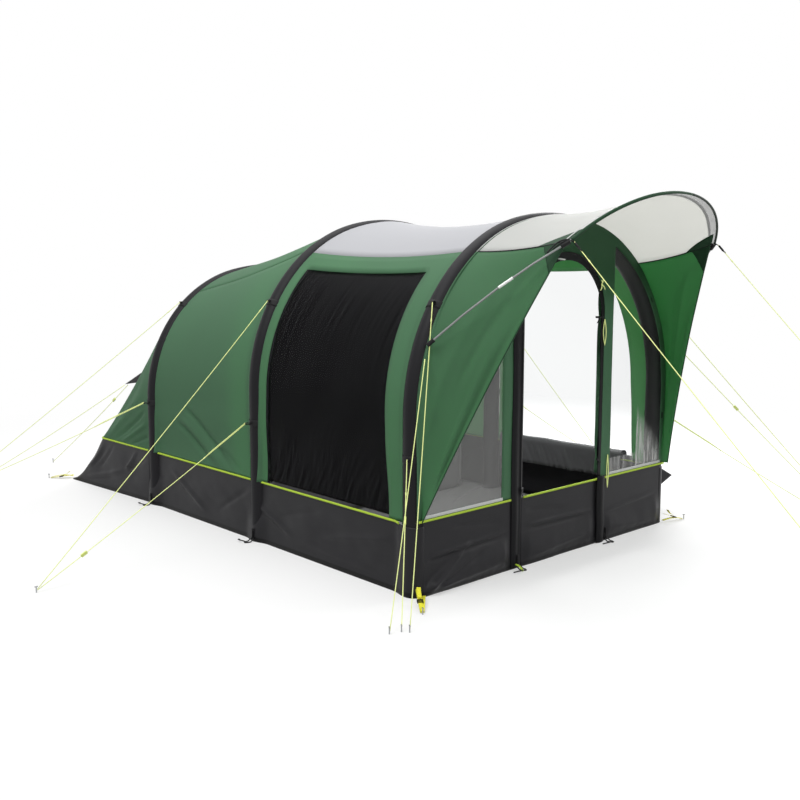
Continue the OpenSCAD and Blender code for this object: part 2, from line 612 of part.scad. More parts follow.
// Webbing tabs where the guylines leave the beams: arch, place, place along the arch, length.
mid_upper = [tall, mid_y, 1.4, 14];
mid_lower = [tall, mid_y, 0.8, 46];
front_upper = [wide, front_y - 24, 1.43, 14];
front_lower = [wide, front_y - 24, 0.78, 12];
rear_upper = [low, rear_y, 1.59, 12];
rear_lower = [low, rear_y, 0.98, 38];
tab_t = 4;
function tab_end(t, side) = let (p = arch_at(t[0], t[2], -t[3] - 4)) [side * -p.x, t[1], p.y];
module guy_tabs() color("#1d1d1f")
  for (side = [-1, 1]) for (t = [mid_upper, mid_lower, front_upper, front_lower, rear_upper, rear_lower]) {
    p = arch_at(t[0], t[2], -gap);
    translate([side * -p.x, t[1], p.y]) rotate([0, side * (90 - turn(t[2])), 0])
      translate([-tab_t / 2, -webbing_w / 2, 0]) cube([tab_t, webbing_w, t[3]]);
  }

// Elastic peg loops at the beam feet and the doorway.
loop_r = 20;
cord_r = 3;
loops = [[-1226, mid_y], [1226, mid_y], [-1210, rear_y], [1210, rear_y],
         [door_left - 40, face_y - 36], [door_right + 60, face_y - 36]];
module peg_loops() color("#1a1a1c") for (p = loops)
  translate([p.x, p.y, cord_r]) rotate_extrude() translate([loop_r, 0]) circle(cord_r);

// Corner webbing with ladder-lock buckles, each to its own peg.
straps = [[[-1216, -2128, 60], [-1345, -2298, 4]], [[1216, -2128, 60], [1375, -2180, 4]],
          [[-1216, 2098, 34], [-1350, 2252, 4]], [[1216, 2098, 34], [1350, 2252, 4]]];
module corner_straps() color("#ebe63c") for (s = straps)
  along(s[0], s[1]) rotate([0, 0, 90])
    translate([-webbing_w / 2, -1, 0]) cube([webbing_w, 2, norm(s[1] - s[0])]);
buckle_w = 34;
module strap_buckles() color("#161617") for (s = straps)
  along(mix(s[0], s[1], 0.45), s[1]) rotate([0, 0, 90]) difference() {
    translate([-buckle_w / 2, -4, 0]) cube([buckle_w, 8, 30]);
    translate([-webbing_w / 2 - 1, -1.6, -1]) cube([webbing_w + 2, 3.2, 32]);
    for (z = [6, 18]) translate([-webbing_w / 2, -5, z]) cube([webbing_w, 10, 6]);
  }

// Guyline pegs, shown above the ground: a shank end with its hook.
left_peg = [-2690, -580];
left_rear_peg = [-2170, 2270];
hood_far_peg = [-1690, 2750];
hood_near_peg = [-1050, 2880];
left_front_peg = [-1670, -2396];
left_low_peg = [-1606, -2416];
left_out_peg = [-1580, -2448];
canopy_pegs = [[-700, -4700], [700, -4700]];
right_front_peg = [1890, -3230];
right_peg = [2690, -580];
guy_pegs = [left_peg, left_rear_peg, hood_far_peg, hood_near_peg, left_front_peg, left_low_peg,
            left_out_peg, canopy_pegs[0], canopy_pegs[1], right_front_peg, right_peg];
strap_pegs = [for (s = straps) [s[1].x, s[1].y] + 16 * unit([s[1].x - s[0].x, s[1].y - s[0].y])];
peg_r = 3.5;
peg_h = 34;
module ground_pegs() color("#6f7276") for (p = concat(guy_pegs, strap_pegs)) translate([p.x, p.y, 0]) {
  cylinder(r = peg_r, h = peg_h);
  translate([0, 0, peg_h]) rotate([0, 90, atan2(-p.y, -p.x)]) cylinder(r = peg_r, h = 18, center = true);
}

// Guyline routes, from the tab to the peg; each hangs a little slack and runs straight about a runner.
slack = 12;
peg_turn = peg_r + guy_d / 2 + gap;
function hang(s) = [0, 0, -slack * 4 * s * (1 - s)];
function taut(a, peg, at = 0.5, z = 12) =
  let (b = [peg.x, peg.y, z] + peg_turn * unit([a.x - peg.x, a.y - peg.y, 0]),
       s0 = at - 0.14, s1 = at + 0.14)
  [a, mix(a, b, s0) + hang(s0), mix(a, b, s1) + hang(s1), b];
upper_z = 18;      // height of a second cord on the same peg
lower_z = 6;       // height of a third one
pocket_end = [-1174, face_y - 24, 1323];
left_routes = [
  taut(tab_end(mid_upper, -1), left_peg, z = upper_z),
  taut(tab_end(mid_lower, -1), left_peg, 0.8),
  taut(tab_end(rear_upper, -1), left_rear_peg, z = upper_z),
  taut(tab_end(rear_lower, -1), left_rear_peg),
  taut(hood_tip - [4, 0, 6], hood_far_peg),
  taut(hood_tip + [24, 0, -8], hood_near_peg, 0.17),
  taut(tab_end(front_upper, -1), left_out_peg),
  taut(tab_end(front_lower, -1), left_low_peg, 0.36),
  taut(pocket_end, left_front_peg)];
right_routes = [
  taut(tab_end(mid_upper, 1), right_peg, z = upper_z),
  taut(tab_end(mid_lower, 1), right_peg),
  taut(tab_end(front_upper, 1), right_front_peg, z = upper_z),
  taut(flip_x(pocket_end), right_front_peg, 0.36),
  taut(tab_end(front_lower, 1), right_front_peg, z = lower_z)];
canopy_routes = [for (m = [0, 1])
  taut([(2 * m - 1) * (tip_x + 4), tip_y - 22, tip_z - 6], canopy_pegs[m])];
module left_guylines() color("#e1eb96") for (r = left_routes) tube_along(r, guy_d / 2);
module right_guylines() color("#e1eb96") for (r = right_routes) tube_along(r, guy_d / 2);
module canopy_guylines() color("#e1eb96") for (r = canopy_routes) tube_along(r, guy_d / 2);

// Line runners: a flat two-hole plate on the straight middle of a guyline.
runner_l = 40;
module runner(r) color("#d7e650") {
  a = r[1];
  b = r[2];
  along(mix(a, b, 0.5), b) difference() {
    translate([-9, -5, -runner_l / 2]) cube([18, 10, runner_l]);
    translate([0, 0, -runner_l]) cylinder(r = guy_d / 2 + 0.6, h = 2 * runner_l);
  }
}
module left_middle_runner() runner(left_routes[1]);
module left_front_runner() runner(left_routes[7]);
module right_front_runner() runner(right_routes[3]);
module rear_hood_runner() runner(left_routes[5]);

front_beam_sleeve();
middle_beam_sleeve();
rear_beam_sleeve();
front_air_bladder();
middle_air_bladder();
rear_air_bladder();
valve_bodies();
front_valve_cap();
middle_valve_cap();
rear_valve_cap();
living_roof_panel();
left_window_frame();
right_window_frame();
left_window_film();
right_window_film();
left_blind();
left_blind_hem();
right_blind_roll();
rear_roof_panel();
rear_left_panel();
rear_right_panel();
rear_end_panel();
left_mud_wall();
right_mud_wall();
rear_mud_wall();
front_mud_wall();
door_threshold();
piping();
groundsheet();
canopy_roof();
brow_sleeve();
left_wing();
right_wing();
canopy_pole();
pole_ferrules();
pole_pockets();
front_wall_panel();
front_window_films();
door_roll();
door_ties();
door_zip_flap();
door_zip_tape();
door_zip_slider();
rear_vent_hood();
side_vent_hood();
bedroom_front_wall();
bedroom_shell();
guy_tabs();
peg_loops();
corner_straps();
strap_buckles();
ground_pegs();
left_guylines();
right_guylines();
canopy_guylines();
left_middle_runner();
left_front_runner();
right_front_runner();
rear_hood_runner();
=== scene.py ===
import json
from math import atan2, cos, exp, hypot, pi, radians, sin, sqrt
import bpy
import bmesh
from mathutils import Vector, noise
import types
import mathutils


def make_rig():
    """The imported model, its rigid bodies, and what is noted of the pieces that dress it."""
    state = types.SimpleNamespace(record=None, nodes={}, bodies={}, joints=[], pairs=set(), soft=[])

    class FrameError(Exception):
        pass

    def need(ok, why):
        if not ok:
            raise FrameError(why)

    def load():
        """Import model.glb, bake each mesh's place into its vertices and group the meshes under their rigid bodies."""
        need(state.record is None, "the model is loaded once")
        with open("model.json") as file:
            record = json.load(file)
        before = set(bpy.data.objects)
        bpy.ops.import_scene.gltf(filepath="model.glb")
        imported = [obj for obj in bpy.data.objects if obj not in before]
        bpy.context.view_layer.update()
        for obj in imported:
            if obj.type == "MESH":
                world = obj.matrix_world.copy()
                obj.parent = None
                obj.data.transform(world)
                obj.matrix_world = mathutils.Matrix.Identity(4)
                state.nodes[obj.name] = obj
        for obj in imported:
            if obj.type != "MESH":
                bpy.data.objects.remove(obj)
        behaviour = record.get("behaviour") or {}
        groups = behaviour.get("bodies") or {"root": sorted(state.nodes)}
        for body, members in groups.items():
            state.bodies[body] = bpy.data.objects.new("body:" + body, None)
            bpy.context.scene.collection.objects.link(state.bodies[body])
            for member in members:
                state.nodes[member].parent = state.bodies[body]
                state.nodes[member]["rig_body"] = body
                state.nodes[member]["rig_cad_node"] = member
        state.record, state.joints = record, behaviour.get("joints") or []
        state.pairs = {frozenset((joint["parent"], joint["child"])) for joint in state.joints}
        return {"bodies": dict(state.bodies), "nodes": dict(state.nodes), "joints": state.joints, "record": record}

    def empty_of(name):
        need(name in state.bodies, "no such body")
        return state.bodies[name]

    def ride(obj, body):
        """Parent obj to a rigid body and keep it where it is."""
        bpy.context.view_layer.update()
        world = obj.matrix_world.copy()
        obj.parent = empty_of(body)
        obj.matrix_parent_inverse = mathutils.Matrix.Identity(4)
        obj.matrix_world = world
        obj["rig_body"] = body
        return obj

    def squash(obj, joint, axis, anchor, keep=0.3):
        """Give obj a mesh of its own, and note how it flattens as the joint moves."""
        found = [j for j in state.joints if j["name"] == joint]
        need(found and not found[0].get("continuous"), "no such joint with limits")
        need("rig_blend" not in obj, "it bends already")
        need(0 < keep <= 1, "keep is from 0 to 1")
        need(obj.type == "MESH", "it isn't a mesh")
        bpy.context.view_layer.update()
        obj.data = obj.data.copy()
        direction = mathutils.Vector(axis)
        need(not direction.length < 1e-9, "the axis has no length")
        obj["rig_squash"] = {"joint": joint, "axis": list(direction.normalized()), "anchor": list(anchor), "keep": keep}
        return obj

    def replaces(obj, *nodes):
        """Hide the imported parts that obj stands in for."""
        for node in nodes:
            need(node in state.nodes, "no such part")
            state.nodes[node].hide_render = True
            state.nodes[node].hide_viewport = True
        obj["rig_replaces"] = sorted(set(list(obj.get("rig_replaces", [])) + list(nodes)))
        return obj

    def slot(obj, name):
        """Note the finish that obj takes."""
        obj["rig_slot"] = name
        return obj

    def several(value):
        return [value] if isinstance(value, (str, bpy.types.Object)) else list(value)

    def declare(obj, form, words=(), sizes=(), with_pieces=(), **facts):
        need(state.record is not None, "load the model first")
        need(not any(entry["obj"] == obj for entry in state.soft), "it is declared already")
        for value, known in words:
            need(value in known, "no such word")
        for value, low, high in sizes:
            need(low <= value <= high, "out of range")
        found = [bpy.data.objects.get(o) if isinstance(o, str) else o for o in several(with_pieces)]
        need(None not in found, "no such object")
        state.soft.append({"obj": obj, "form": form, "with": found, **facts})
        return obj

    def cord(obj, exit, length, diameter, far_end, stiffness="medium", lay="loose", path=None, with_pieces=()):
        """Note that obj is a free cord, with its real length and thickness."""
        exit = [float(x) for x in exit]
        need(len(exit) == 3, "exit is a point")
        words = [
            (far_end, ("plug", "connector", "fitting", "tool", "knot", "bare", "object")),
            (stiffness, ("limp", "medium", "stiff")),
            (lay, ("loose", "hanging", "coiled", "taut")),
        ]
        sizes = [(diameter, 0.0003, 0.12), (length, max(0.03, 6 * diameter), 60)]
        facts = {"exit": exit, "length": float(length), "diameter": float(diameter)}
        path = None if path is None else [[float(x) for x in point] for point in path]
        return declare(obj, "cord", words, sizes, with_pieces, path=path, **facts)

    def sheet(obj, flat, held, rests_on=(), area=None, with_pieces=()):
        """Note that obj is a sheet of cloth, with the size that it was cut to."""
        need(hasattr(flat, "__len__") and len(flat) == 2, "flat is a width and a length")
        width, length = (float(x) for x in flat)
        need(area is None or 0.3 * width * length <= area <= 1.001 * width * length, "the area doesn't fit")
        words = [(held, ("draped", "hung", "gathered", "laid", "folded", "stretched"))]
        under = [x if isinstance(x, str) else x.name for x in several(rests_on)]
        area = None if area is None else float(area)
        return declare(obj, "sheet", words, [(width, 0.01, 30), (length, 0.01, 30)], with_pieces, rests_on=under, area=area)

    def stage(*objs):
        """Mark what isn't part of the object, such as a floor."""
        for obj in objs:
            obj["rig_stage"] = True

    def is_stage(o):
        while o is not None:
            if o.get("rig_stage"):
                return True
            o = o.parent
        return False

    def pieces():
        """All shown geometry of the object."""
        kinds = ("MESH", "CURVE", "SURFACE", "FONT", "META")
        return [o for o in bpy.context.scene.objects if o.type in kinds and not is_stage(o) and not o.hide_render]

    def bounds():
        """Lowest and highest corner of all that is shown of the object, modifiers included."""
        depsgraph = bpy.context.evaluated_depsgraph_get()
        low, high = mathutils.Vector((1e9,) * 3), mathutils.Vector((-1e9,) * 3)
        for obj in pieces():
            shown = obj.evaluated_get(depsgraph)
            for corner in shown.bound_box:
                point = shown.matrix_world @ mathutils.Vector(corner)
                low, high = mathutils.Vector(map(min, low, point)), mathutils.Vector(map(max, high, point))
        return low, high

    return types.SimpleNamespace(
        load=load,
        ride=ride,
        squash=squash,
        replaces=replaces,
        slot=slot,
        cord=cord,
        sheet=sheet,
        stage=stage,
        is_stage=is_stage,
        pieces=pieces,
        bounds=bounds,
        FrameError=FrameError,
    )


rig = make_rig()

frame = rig.load()
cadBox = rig.bounds()
bpy.ops.object.select_all(action="DESELECT")
bpy.context.scene.view_settings.view_transform = "Standard"
print("frame loaded")

# Camera at the photograph's place
view = {"place": (-4.883, -5.919, 1.838), "tilt": 82.1, "turn": -43.0, "lens": 44.98, "sensor": 36.0,
        "clip": 200.0}
cameraData = bpy.data.cameras.new("camera")
cameraData.lens = view["lens"]
cameraData.sensor_width = view["sensor"]
cameraData.clip_end = view["clip"]
camera = bpy.data.objects.new("camera", cameraData)
camera.location = view["place"]
camera.rotation_euler = (radians(view["tilt"]), 0, radians(view["turn"]))
bpy.context.scene.collection.objects.link(camera)
bpy.context.scene.camera = camera


# Shader sockets as values: expressions add Math nodes, node() adds any other node
class Paint:
    def __init__(self, tree, socket=None):
        self.tree, self.socket = tree, socket

    def node(self, kind, settings=None, inputs=None, out=0):
        made = self.tree.nodes.new("ShaderNode" + kind)
        for key, value in (settings or {}).items():
            setattr(made, key, value)
        for key, value in (inputs or {}).items():
            if isinstance(value, Paint):
                self.tree.links.new(value.socket, made.inputs[key])
            else:
                made.inputs[key].default_value = value
        return Paint(self.tree, made.outputs[out] if len(made.outputs) else None)

    def maths(self, operation, a, b=0.0):
        return self.node("Math", {"operation": operation}, {0: a, 1: b})

    def __add__(self, other):
        return self.maths("ADD", self, other)

    def __radd__(self, other):
        return self.maths("ADD", other, self)

    def __sub__(self, other):
        return self.maths("SUBTRACT", self, other)

    def __rsub__(self, other):
        return self.maths("SUBTRACT", other, self)

    def __mul__(self, other):
        return self.maths("MULTIPLY", self, other)

    def __rmul__(self, other):
        return self.maths("MULTIPLY", other, self)

    def __truediv__(self, other):
        return self.maths("DIVIDE", self, other)

    def __rtruediv__(self, other):
        return self.maths("DIVIDE", other, self)

    def __lt__(self, other):
        return self.maths("LESS_THAN", self, other)

    def __gt__(self, other):
        return self.maths("GREATER_THAN", self, other)

    def part(self, index):
        return Paint(self.tree, self.socket.node.outputs[index])

    def place(self, kind):  # Object or UV coordinates, taken apart
        return self.node("SeparateXYZ", None, {0: self.node("TexCoord", None, None, kind)})

    def tint(self, a, b, factor):
        return self.node("Mix", {"data_type": "RGBA"}, {0: factor, 6: a, 7: b}, 2)

    def fade(self, value, start, end):
        return self.node("MapRange", {"interpolation_type": "SMOOTHSTEP"}, {
            "Value": value, "From Min": start, "From Max": end})

    def cloud(self, scale, detail=3.0, stretch=None):
        spot = self.node("TexCoord", None, None, "Object")
        if stretch:
            spot = self.node("Mapping", None, {"Vector": spot, "Scale": stretch})
        return self.node("TexNoise", None, {"Vector": spot, "Scale": scale, "Detail": detail})

    def wave(self, value, length):
        return self.maths("SINE", value * (2 * pi / length))

    def bump(self, strength, depth, height):
        return self.node("Bump", None, {"Strength": strength, "Distance": depth, "Height": height})


def shade(color, amount=1.0):
    return tuple(min(1.0, c * amount) for c in color[:3]) + (1.0,)


def startMaterial(name):
    made = bpy.data.materials.new(name)
    made.use_nodes = True
    made.node_tree.nodes.clear()
    return made, Paint(made.node_tree)


stitch = {"length": 0.0055, "width": 0.0011, "dash": 0.68}


def stitching(p, along, across, rows):
    mask = None
    for row in rows:
        line = p.maths("ABSOLUTE", across - row) < stitch["width"]
        mask = line if mask is None else p.maths("MAXIMUM", mask, line)
    return mask * (p.maths("FRACT", along / stitch["length"]) < stitch["dash"])


# Woven cloth: thread relief, cloudy tone and small creases;
# where asked also a darker band, stitch rows or light coming through
plainCloth = {"thread": 0.0014, "weaveTone": 0.35, "weaveRelief": 0.03, "toneScale": 2.2, "toneDetail": 4.0,
              "spread": 0.12, "shadow": 1.6, "creaseScale": 16.0, "creaseDetail": 3.0, "creaseRelief": 0.8,
              "stretch": None, "rough": 0.55, "roughSpread": 0.16, "sheen": 0.1, "sheenRough": 0.5,
              "specular": 0.16, "bump": 0.3, "depth": 0.0025, "band": None, "stitch": (), "stitchTone": 0.55,
              "stitchRelief": 0.5, "glow": 0.0}


def clothMaterial(name, look):
    look = {**plainCloth, **look}
    base, spread = look["base"], look["spread"]
    made, p = startMaterial(name)
    flat = p.place("UV")
    u, v = flat.part(0), flat.part(1)
    weave = p.wave(u, look["thread"]) * p.wave(v, look["thread"])
    tone = p.cloud(look["toneScale"], look["toneDetail"])
    crease = p.cloud(look["creaseScale"], look["creaseDetail"], look["stretch"])
    color = p.tint(shade(base, 1 - spread), shade(base, 1 + spread), tone)
    color = p.tint(color, shade(base, 1 - look["shadow"] * spread), (weave * 0.5 + 0.5) * look["weaveTone"])
    height = weave * look["weaveRelief"] + crease * look["creaseRelief"]
    if look["band"]:  # a darker strip at the hem, or under the canopy
        band = p.fade(p.place("Object").part(2), look["band"]["from"], look["band"]["to"])
        color = p.tint(color, shade(look["band"]["base"]), band)
    if look["stitch"]:
        rows = stitching(p, u, v, look["stitch"])
        color = p.tint(color, shade(base, look["stitchTone"]), rows)
        height = height + rows * look["stitchRelief"]
    shader = p.node("BsdfPrincipled", None, {
        "Base Color": color, "Roughness": look["rough"] + (tone - 0.5) * look["roughSpread"],
        "Sheen Weight": look["sheen"], "Sheen Roughness": look["sheenRough"],
        "Specular IOR Level": look["specular"], "Normal": p.bump(look["bump"], look["depth"], height)})
    if look["glow"]:  # thin cloth lets some light through
        thin = p.node("BsdfTranslucent", None, {"Color": shade(look["through"])})
        shader = p.node("MixShader", None, {0: look["glow"], 1: shader, 2: thin})
    p.node("OutputMaterial", None, {"Surface": shader})
    return made


# The left front window is dull all over and creased, the right one slack and pleated below a slanting line
def scuffed(p, scuff, body, color):
    spot = p.place("Object")
    side, high = spot.part(0), spot.part(2)
    slack = p.fade(high + side * scuff["slope"], scuff["top"], scuff["top"] - scuff["fade"])
    slack = p.maths("MAXIMUM", slack * (side > scuff["from"]), (high < scuff["low"]) * scuff["lowShare"])
    pleat = p.fade(p.cloud(1.0, 2.0, scuff["stretch"]), *scuff["pleat"])
    left = side < 0.0
    body = body + left * scuff["dull"] + (side > 0.0) * slack * (pleat * scuff["amount"] + scuff["base"])
    for (x0, z0), (x1, z1), bend in scuff["creases"]:
        along = (side - x0) / (x1 - x0)
        off = p.maths("ABSOLUTE", high - z0 - along * (z1 - z0) - along * (1 - along) * bend)
        near = p.node("MapRange", None, {
            "Value": off, "From Min": scuff["creaseEdge"], "From Max": scuff["creaseCore"]})
        body = body + near * (along > 0.0) * (along < 1.0) * scuff["creaseBody"]
    return body, p.tint(color, shade(scuff["dullBase"]), left)


# Clear flexible film: mostly see-through, with a soft wavy gloss
plainFilm = {"rippleDetail": 2.0, "hazeScale": 1.6, "haze": (0.92, 1.05), "roughSpread": 0.08, "ior": 1.46,
             "specular": 0.4, "depth": 0.01, "least": 0.02, "stretch": None, "scuff": None}


def filmMaterial(name, look):
    look = {**plainFilm, **look}
    made, p = startMaterial(name)
    ripple = p.cloud(look["ripple"], look["rippleDetail"], look["stretch"])
    haze = p.cloud(look["hazeScale"])
    color = p.tint(shade(look["base"], look["haze"][0]), shade(look["base"], look["haze"][1]), haze)
    body = look["body"] + (haze - 0.5) * look["bodySpread"]
    if look["scuff"]:
        body, color = scuffed(p, look["scuff"], body, color)
    shader = p.node("BsdfPrincipled", None, {
        "Base Color": color, "Roughness": look["rough"] + (haze - 0.5) * look["roughSpread"],
        "IOR": look["ior"], "Specular IOR Level": look["specular"],
        "Normal": p.bump(look["bump"], look["depth"], ripple)})
    clear = p.node("BsdfTransparent", None, {"Color": shade(look["clear"])})
    shader = p.node("MixShader", None, {0: p.maths("MAXIMUM", body, look["least"]), 1: clear, 2: shader})
    p.node("OutputMaterial", None, {"Surface": shader})
    return made


# Ribbed webbing and braided cord follow the flat map
plainWebbing = {"lean": 0.3, "cross": 0.7, "wear": 60.0, "tones": (0.72, 1.12), "roughSpread": 0.15,
                "sheen": 0.03, "specular": 0.2, "self": 0.0, "bump": 0.5, "depth": 0.0008}


def webbingMaterial(name, look):
    look = {**plainWebbing, **look}
    made, p = startMaterial(name)
    flat = p.place("UV")
    u, v = flat.part(0), flat.part(1)
    rib = p.wave(v, look["rib"]) * 0.5 + 0.5
    lean = p.wave(v, look["rib"]) * look["rib"] * look["lean"]
    cross = p.wave(u + lean, look["rib"] * look["cross"]) * 0.5 + 0.5
    worn = p.cloud(look["wear"])
    dark, pale = (shade(look["base"], tone) for tone in look["tones"])
    color = p.tint(dark, pale, rib * 0.6 + cross * 0.25 + worn * 0.15)
    shader = p.node("BsdfPrincipled", None, {
        "Base Color": color, "Roughness": look["rough"] + (worn - 0.5) * look["roughSpread"],
        "Sheen Weight": look["sheen"], "Specular IOR Level": look["specular"],
        "Emission Color": color, "Emission Strength": look["self"],
        "Normal": p.bump(look["bump"], look["depth"], rib * 0.7 + cross * 0.3)})
    p.node("OutputMaterial", None, {"Surface": shader})
    return made


# Moulded and metal finishes follow the object's own space
plainHard = {"grain": 220.0, "wear": 26.0, "tones": (0.85, 1.15), "metal": 0.0, "specular": 0.5,
             "roughSpread": 0.2, "bump": 0.15, "depth": 0.0006, "stretch": None}


def hardMaterial(name, look):
    look = {**plainHard, **look}
    made, p = startMaterial(name)
    grain = p.cloud(look["grain"], 3.0, look["stretch"])
    wear = p.cloud(look["wear"], 4.0)
    dark, pale = (shade(look["base"], tone) for tone in look["tones"])
    shader = p.node("BsdfPrincipled", None, {
        "Base Color": p.tint(dark, pale, wear), "Metallic": look["metal"],
        "Roughness": look["rough"] + (wear - 0.5) * look["roughSpread"],
        "Specular IOR Level": look["specular"], "Normal": p.bump(look["bump"], look["depth"], grain)})
    p.node("OutputMaterial", None, {"Surface": shader})
    return made


# The finishes; those for new pieces name the slot that the pieces go to
looks = {
    "sleeveBlack": {"slot": "sleeve_black", "base": (0.0098, 0.0094, 0.0112), "rough": 0.5, "sheen": 0.0,
                    "creaseScale": 22.0, "creaseRelief": 1.4, "specular": 0.15, "weaveRelief": 0.0,
                    "stitch": (0.006, 0.012)},
    "greenWall": {"slot": "green_cloth", "base": (0.116, 0.246, 0.144), "glow": 0.42,
                  "through": (0.22, 0.52, 0.24), "sheen": 0.03, "creaseScale": 5.0, "creaseRelief": 1.0,
                  "bump": 0.22, "specular": 0.14, "stitch": (0.03, 0.037)},
    "greenFront": {"slot": "green_cloth", "base": (0.085, 0.2, 0.108), "rough": 0.58, "glow": 0.15,
                   "through": (0.07, 0.24, 0.1), "creaseScale": 5.0, "bump": 0.22, "specular": 0.12,
                   "sheen": 0.03, "band": {"from": 1.45, "to": 1.8, "base": (0.03, 0.088, 0.04)}},
    "greenWing": {"slot": "green_cloth", "base": (0.098, 0.214, 0.12), "rough": 0.58, "glow": 0.42,
                  "through": (0.17, 0.48, 0.21), "creaseScale": 4.0, "creaseRelief": 1.2, "bump": 0.25,
                  "specular": 0.12, "sheen": 0.03},
    "patchGreen": {"slot": "green_cloth", "base": (0.018, 0.055, 0.026), "thread": 0.002, "sheen": 0.0},
    "greyRoof": {"slot": "grey_cloth", "base": (0.45, 0.454, 0.476), "rough": 0.5, "glow": 0.15,
                 "through": (0.7, 0.7, 0.72), "spread": 0.03, "creaseScale": 5.0, "creaseRelief": 1.0,
                 "bump": 0.2, "sheen": 0.0},
    "visorCloth": {"slot": "visor_cloth", "base": (0.62, 0.625, 0.62), "rough": 0.6, "glow": 0.55,
                   "through": (0.86, 0.86, 0.83), "spread": 0.025, "creaseScale": 4.0, "bump": 0.15,
                   "sheen": 0.0},
    "blindBlack": {"slot": "blind_black", "base": (0.002, 0.002, 0.0023), "rough": 0.36, "sheen": 0.0,
                   "creaseScale": 4.0, "creaseRelief": 1.2, "weaveRelief": 0.0, "stretch": (1.0, 2.0, 0.6),
                   "bump": 0.25, "specular": 0.06},
    "blindGloss": {"slot": "blind_black", "base": (0.085, 0.086, 0.089), "rough": 0.24, "sheen": 0.0,
                   "creaseScale": 9.0, "creaseRelief": 2.0, "weaveRelief": 0.0, "bump": 0.4,
                   "specular": 0.7},
    "mudBlack": {"slot": "mud_black", "base": (0.0172, 0.0168, 0.019), "rough": 0.42, "sheen": 0.0,
                 "creaseScale": 6.0, "creaseRelief": 1.8, "stretch": (1.0, 0.6, 1.5), "bump": 0.4,
                 "specular": 0.17, "stitch": (0.03, 0.386),
                 "band": {"from": 0.034, "to": 0.024, "base": (0.002, 0.002, 0.0022)}},
    "innerGrey": {"slot": "inner_cloth", "base": (0.2, 0.198, 0.2), "rough": 0.7, "weaveRelief": 0.0,
                  "weaveTone": 0.0, "glow": 0.3, "through": (0.4, 0.4, 0.39), "creaseScale": 6.0,
                  "creaseRelief": 1.3},
    "floorSheet": {"slot": "mud_black", "base": (0.24, 0.24, 0.237), "rough": 0.42, "creaseScale": 6.0,
                   "creaseRelief": 1.5, "bump": 0.35, "sheen": 0.0},
    "hoodBlack": {"slot": "blind_black", "base": (0.0075, 0.0075, 0.0085), "rough": 0.46,
                  "creaseScale": 8.0, "creaseRelief": 1.6, "bump": 0.35, "sheen": 0.0, "specular": 0.12},
}
films = {
    "clearFilm": {"slot": "clear_film", "base": (0.84, 0.86, 0.86), "clear": (0.975, 0.98, 0.98),
                  "rough": 0.2, "bump": 0.12, "ripple": 5.0, "body": 0.02, "bodySpread": 0.02,
                  "stretch": (1.0, 1.0, 0.5)},
    "frontFilm": {"slot": "clear_film", "base": (0.78, 0.78, 0.77), "clear": (0.985, 0.985, 0.985),
                  "rough": 0.24, "bump": 0.15, "ripple": 5.0, "body": 0.02, "bodySpread": 0.02,
                  "stretch": (1.0, 1.0, 0.5),
                  "scuff": {"top": 1.7, "fade": 0.22, "slope": 0.93, "from": 0.86, "low": 0.55,
                            "lowShare": 0.4, "base": 0.2, "amount": 0.4, "pleat": (0.4, 0.68),
                            "stretch": (34.0, 1.0, 4.0), "dull": 0.26, "dullBase": (0.36, 0.36, 0.355),
                            "creaseBody": 0.12, "creaseEdge": 0.006, "creaseCore": 0.0015,
                            "creases": [((-0.98, 0.57), (-0.765, 0.76), -0.2),
                                        ((-0.79, 0.74), (-0.75, 0.92), 0.03),
                                        ((-0.93, 0.5), (-0.62, 0.555), 0.05),
                                        ((-0.7, 0.47), (-0.66, 0.56), 0.0)]}},
    "blindFilm": {"slot": "clear_film", "base": (0.012, 0.012, 0.013), "clear": (0.9, 0.9, 0.91),
                  "rough": 0.3, "bump": 0.12, "ripple": 3.0, "body": 0.1, "bodySpread": 0.06,
                  "stretch": (1.0, 1.0, 0.5), "specular": 0.15},
    "browMesh": {"slot": "brow_mesh", "base": (0.8, 0.8, 0.79), "clear": (0.92, 0.92, 0.92), "rough": 0.5,
                 "bump": 0.2, "ripple": 90.0, "body": 0.5, "bodySpread": 0.1},
    "browTape": {"slot": "brow_mesh", "base": (0.6, 0.6, 0.595), "clear": (0.7, 0.7, 0.7), "rough": 0.5,
                 "bump": 0.2, "ripple": 90.0, "body": 0.8, "bodySpread": 0.1},
}
webbings = {
    "webbingBlack": {"slot": "webbing_black", "base": (0.008, 0.008, 0.009), "rib": 0.0024, "rough": 0.6},
    "yellowWebbing": {"slot": "yellow_webbing", "base": (0.83, 0.79, 0.045), "rib": 0.0024, "rough": 0.6},
    "limePiping": {"slot": "lime_piping", "base": (0.5, 0.7, 0.06), "rib": 0.003, "rough": 0.55,
                   "self": 0.06},
    "guyLime": {"slot": "guy_lime", "base": (0.83, 0.95, 0.36), "rib": 0.0042, "rough": 0.5, "self": 0.22},
    "elasticBlack": {"slot": "elastic_black", "base": (0.012, 0.012, 0.013), "rib": 0.003, "rough": 0.6},
    "browHem": {"slot": "webbing_black", "base": (0.035, 0.05, 0.038), "rib": 0.0024, "rough": 0.6},
    "tapeWhite": {"slot": "grey_cloth", "base": (0.74, 0.75, 0.75), "rib": 0.002, "rough": 0.5},
}
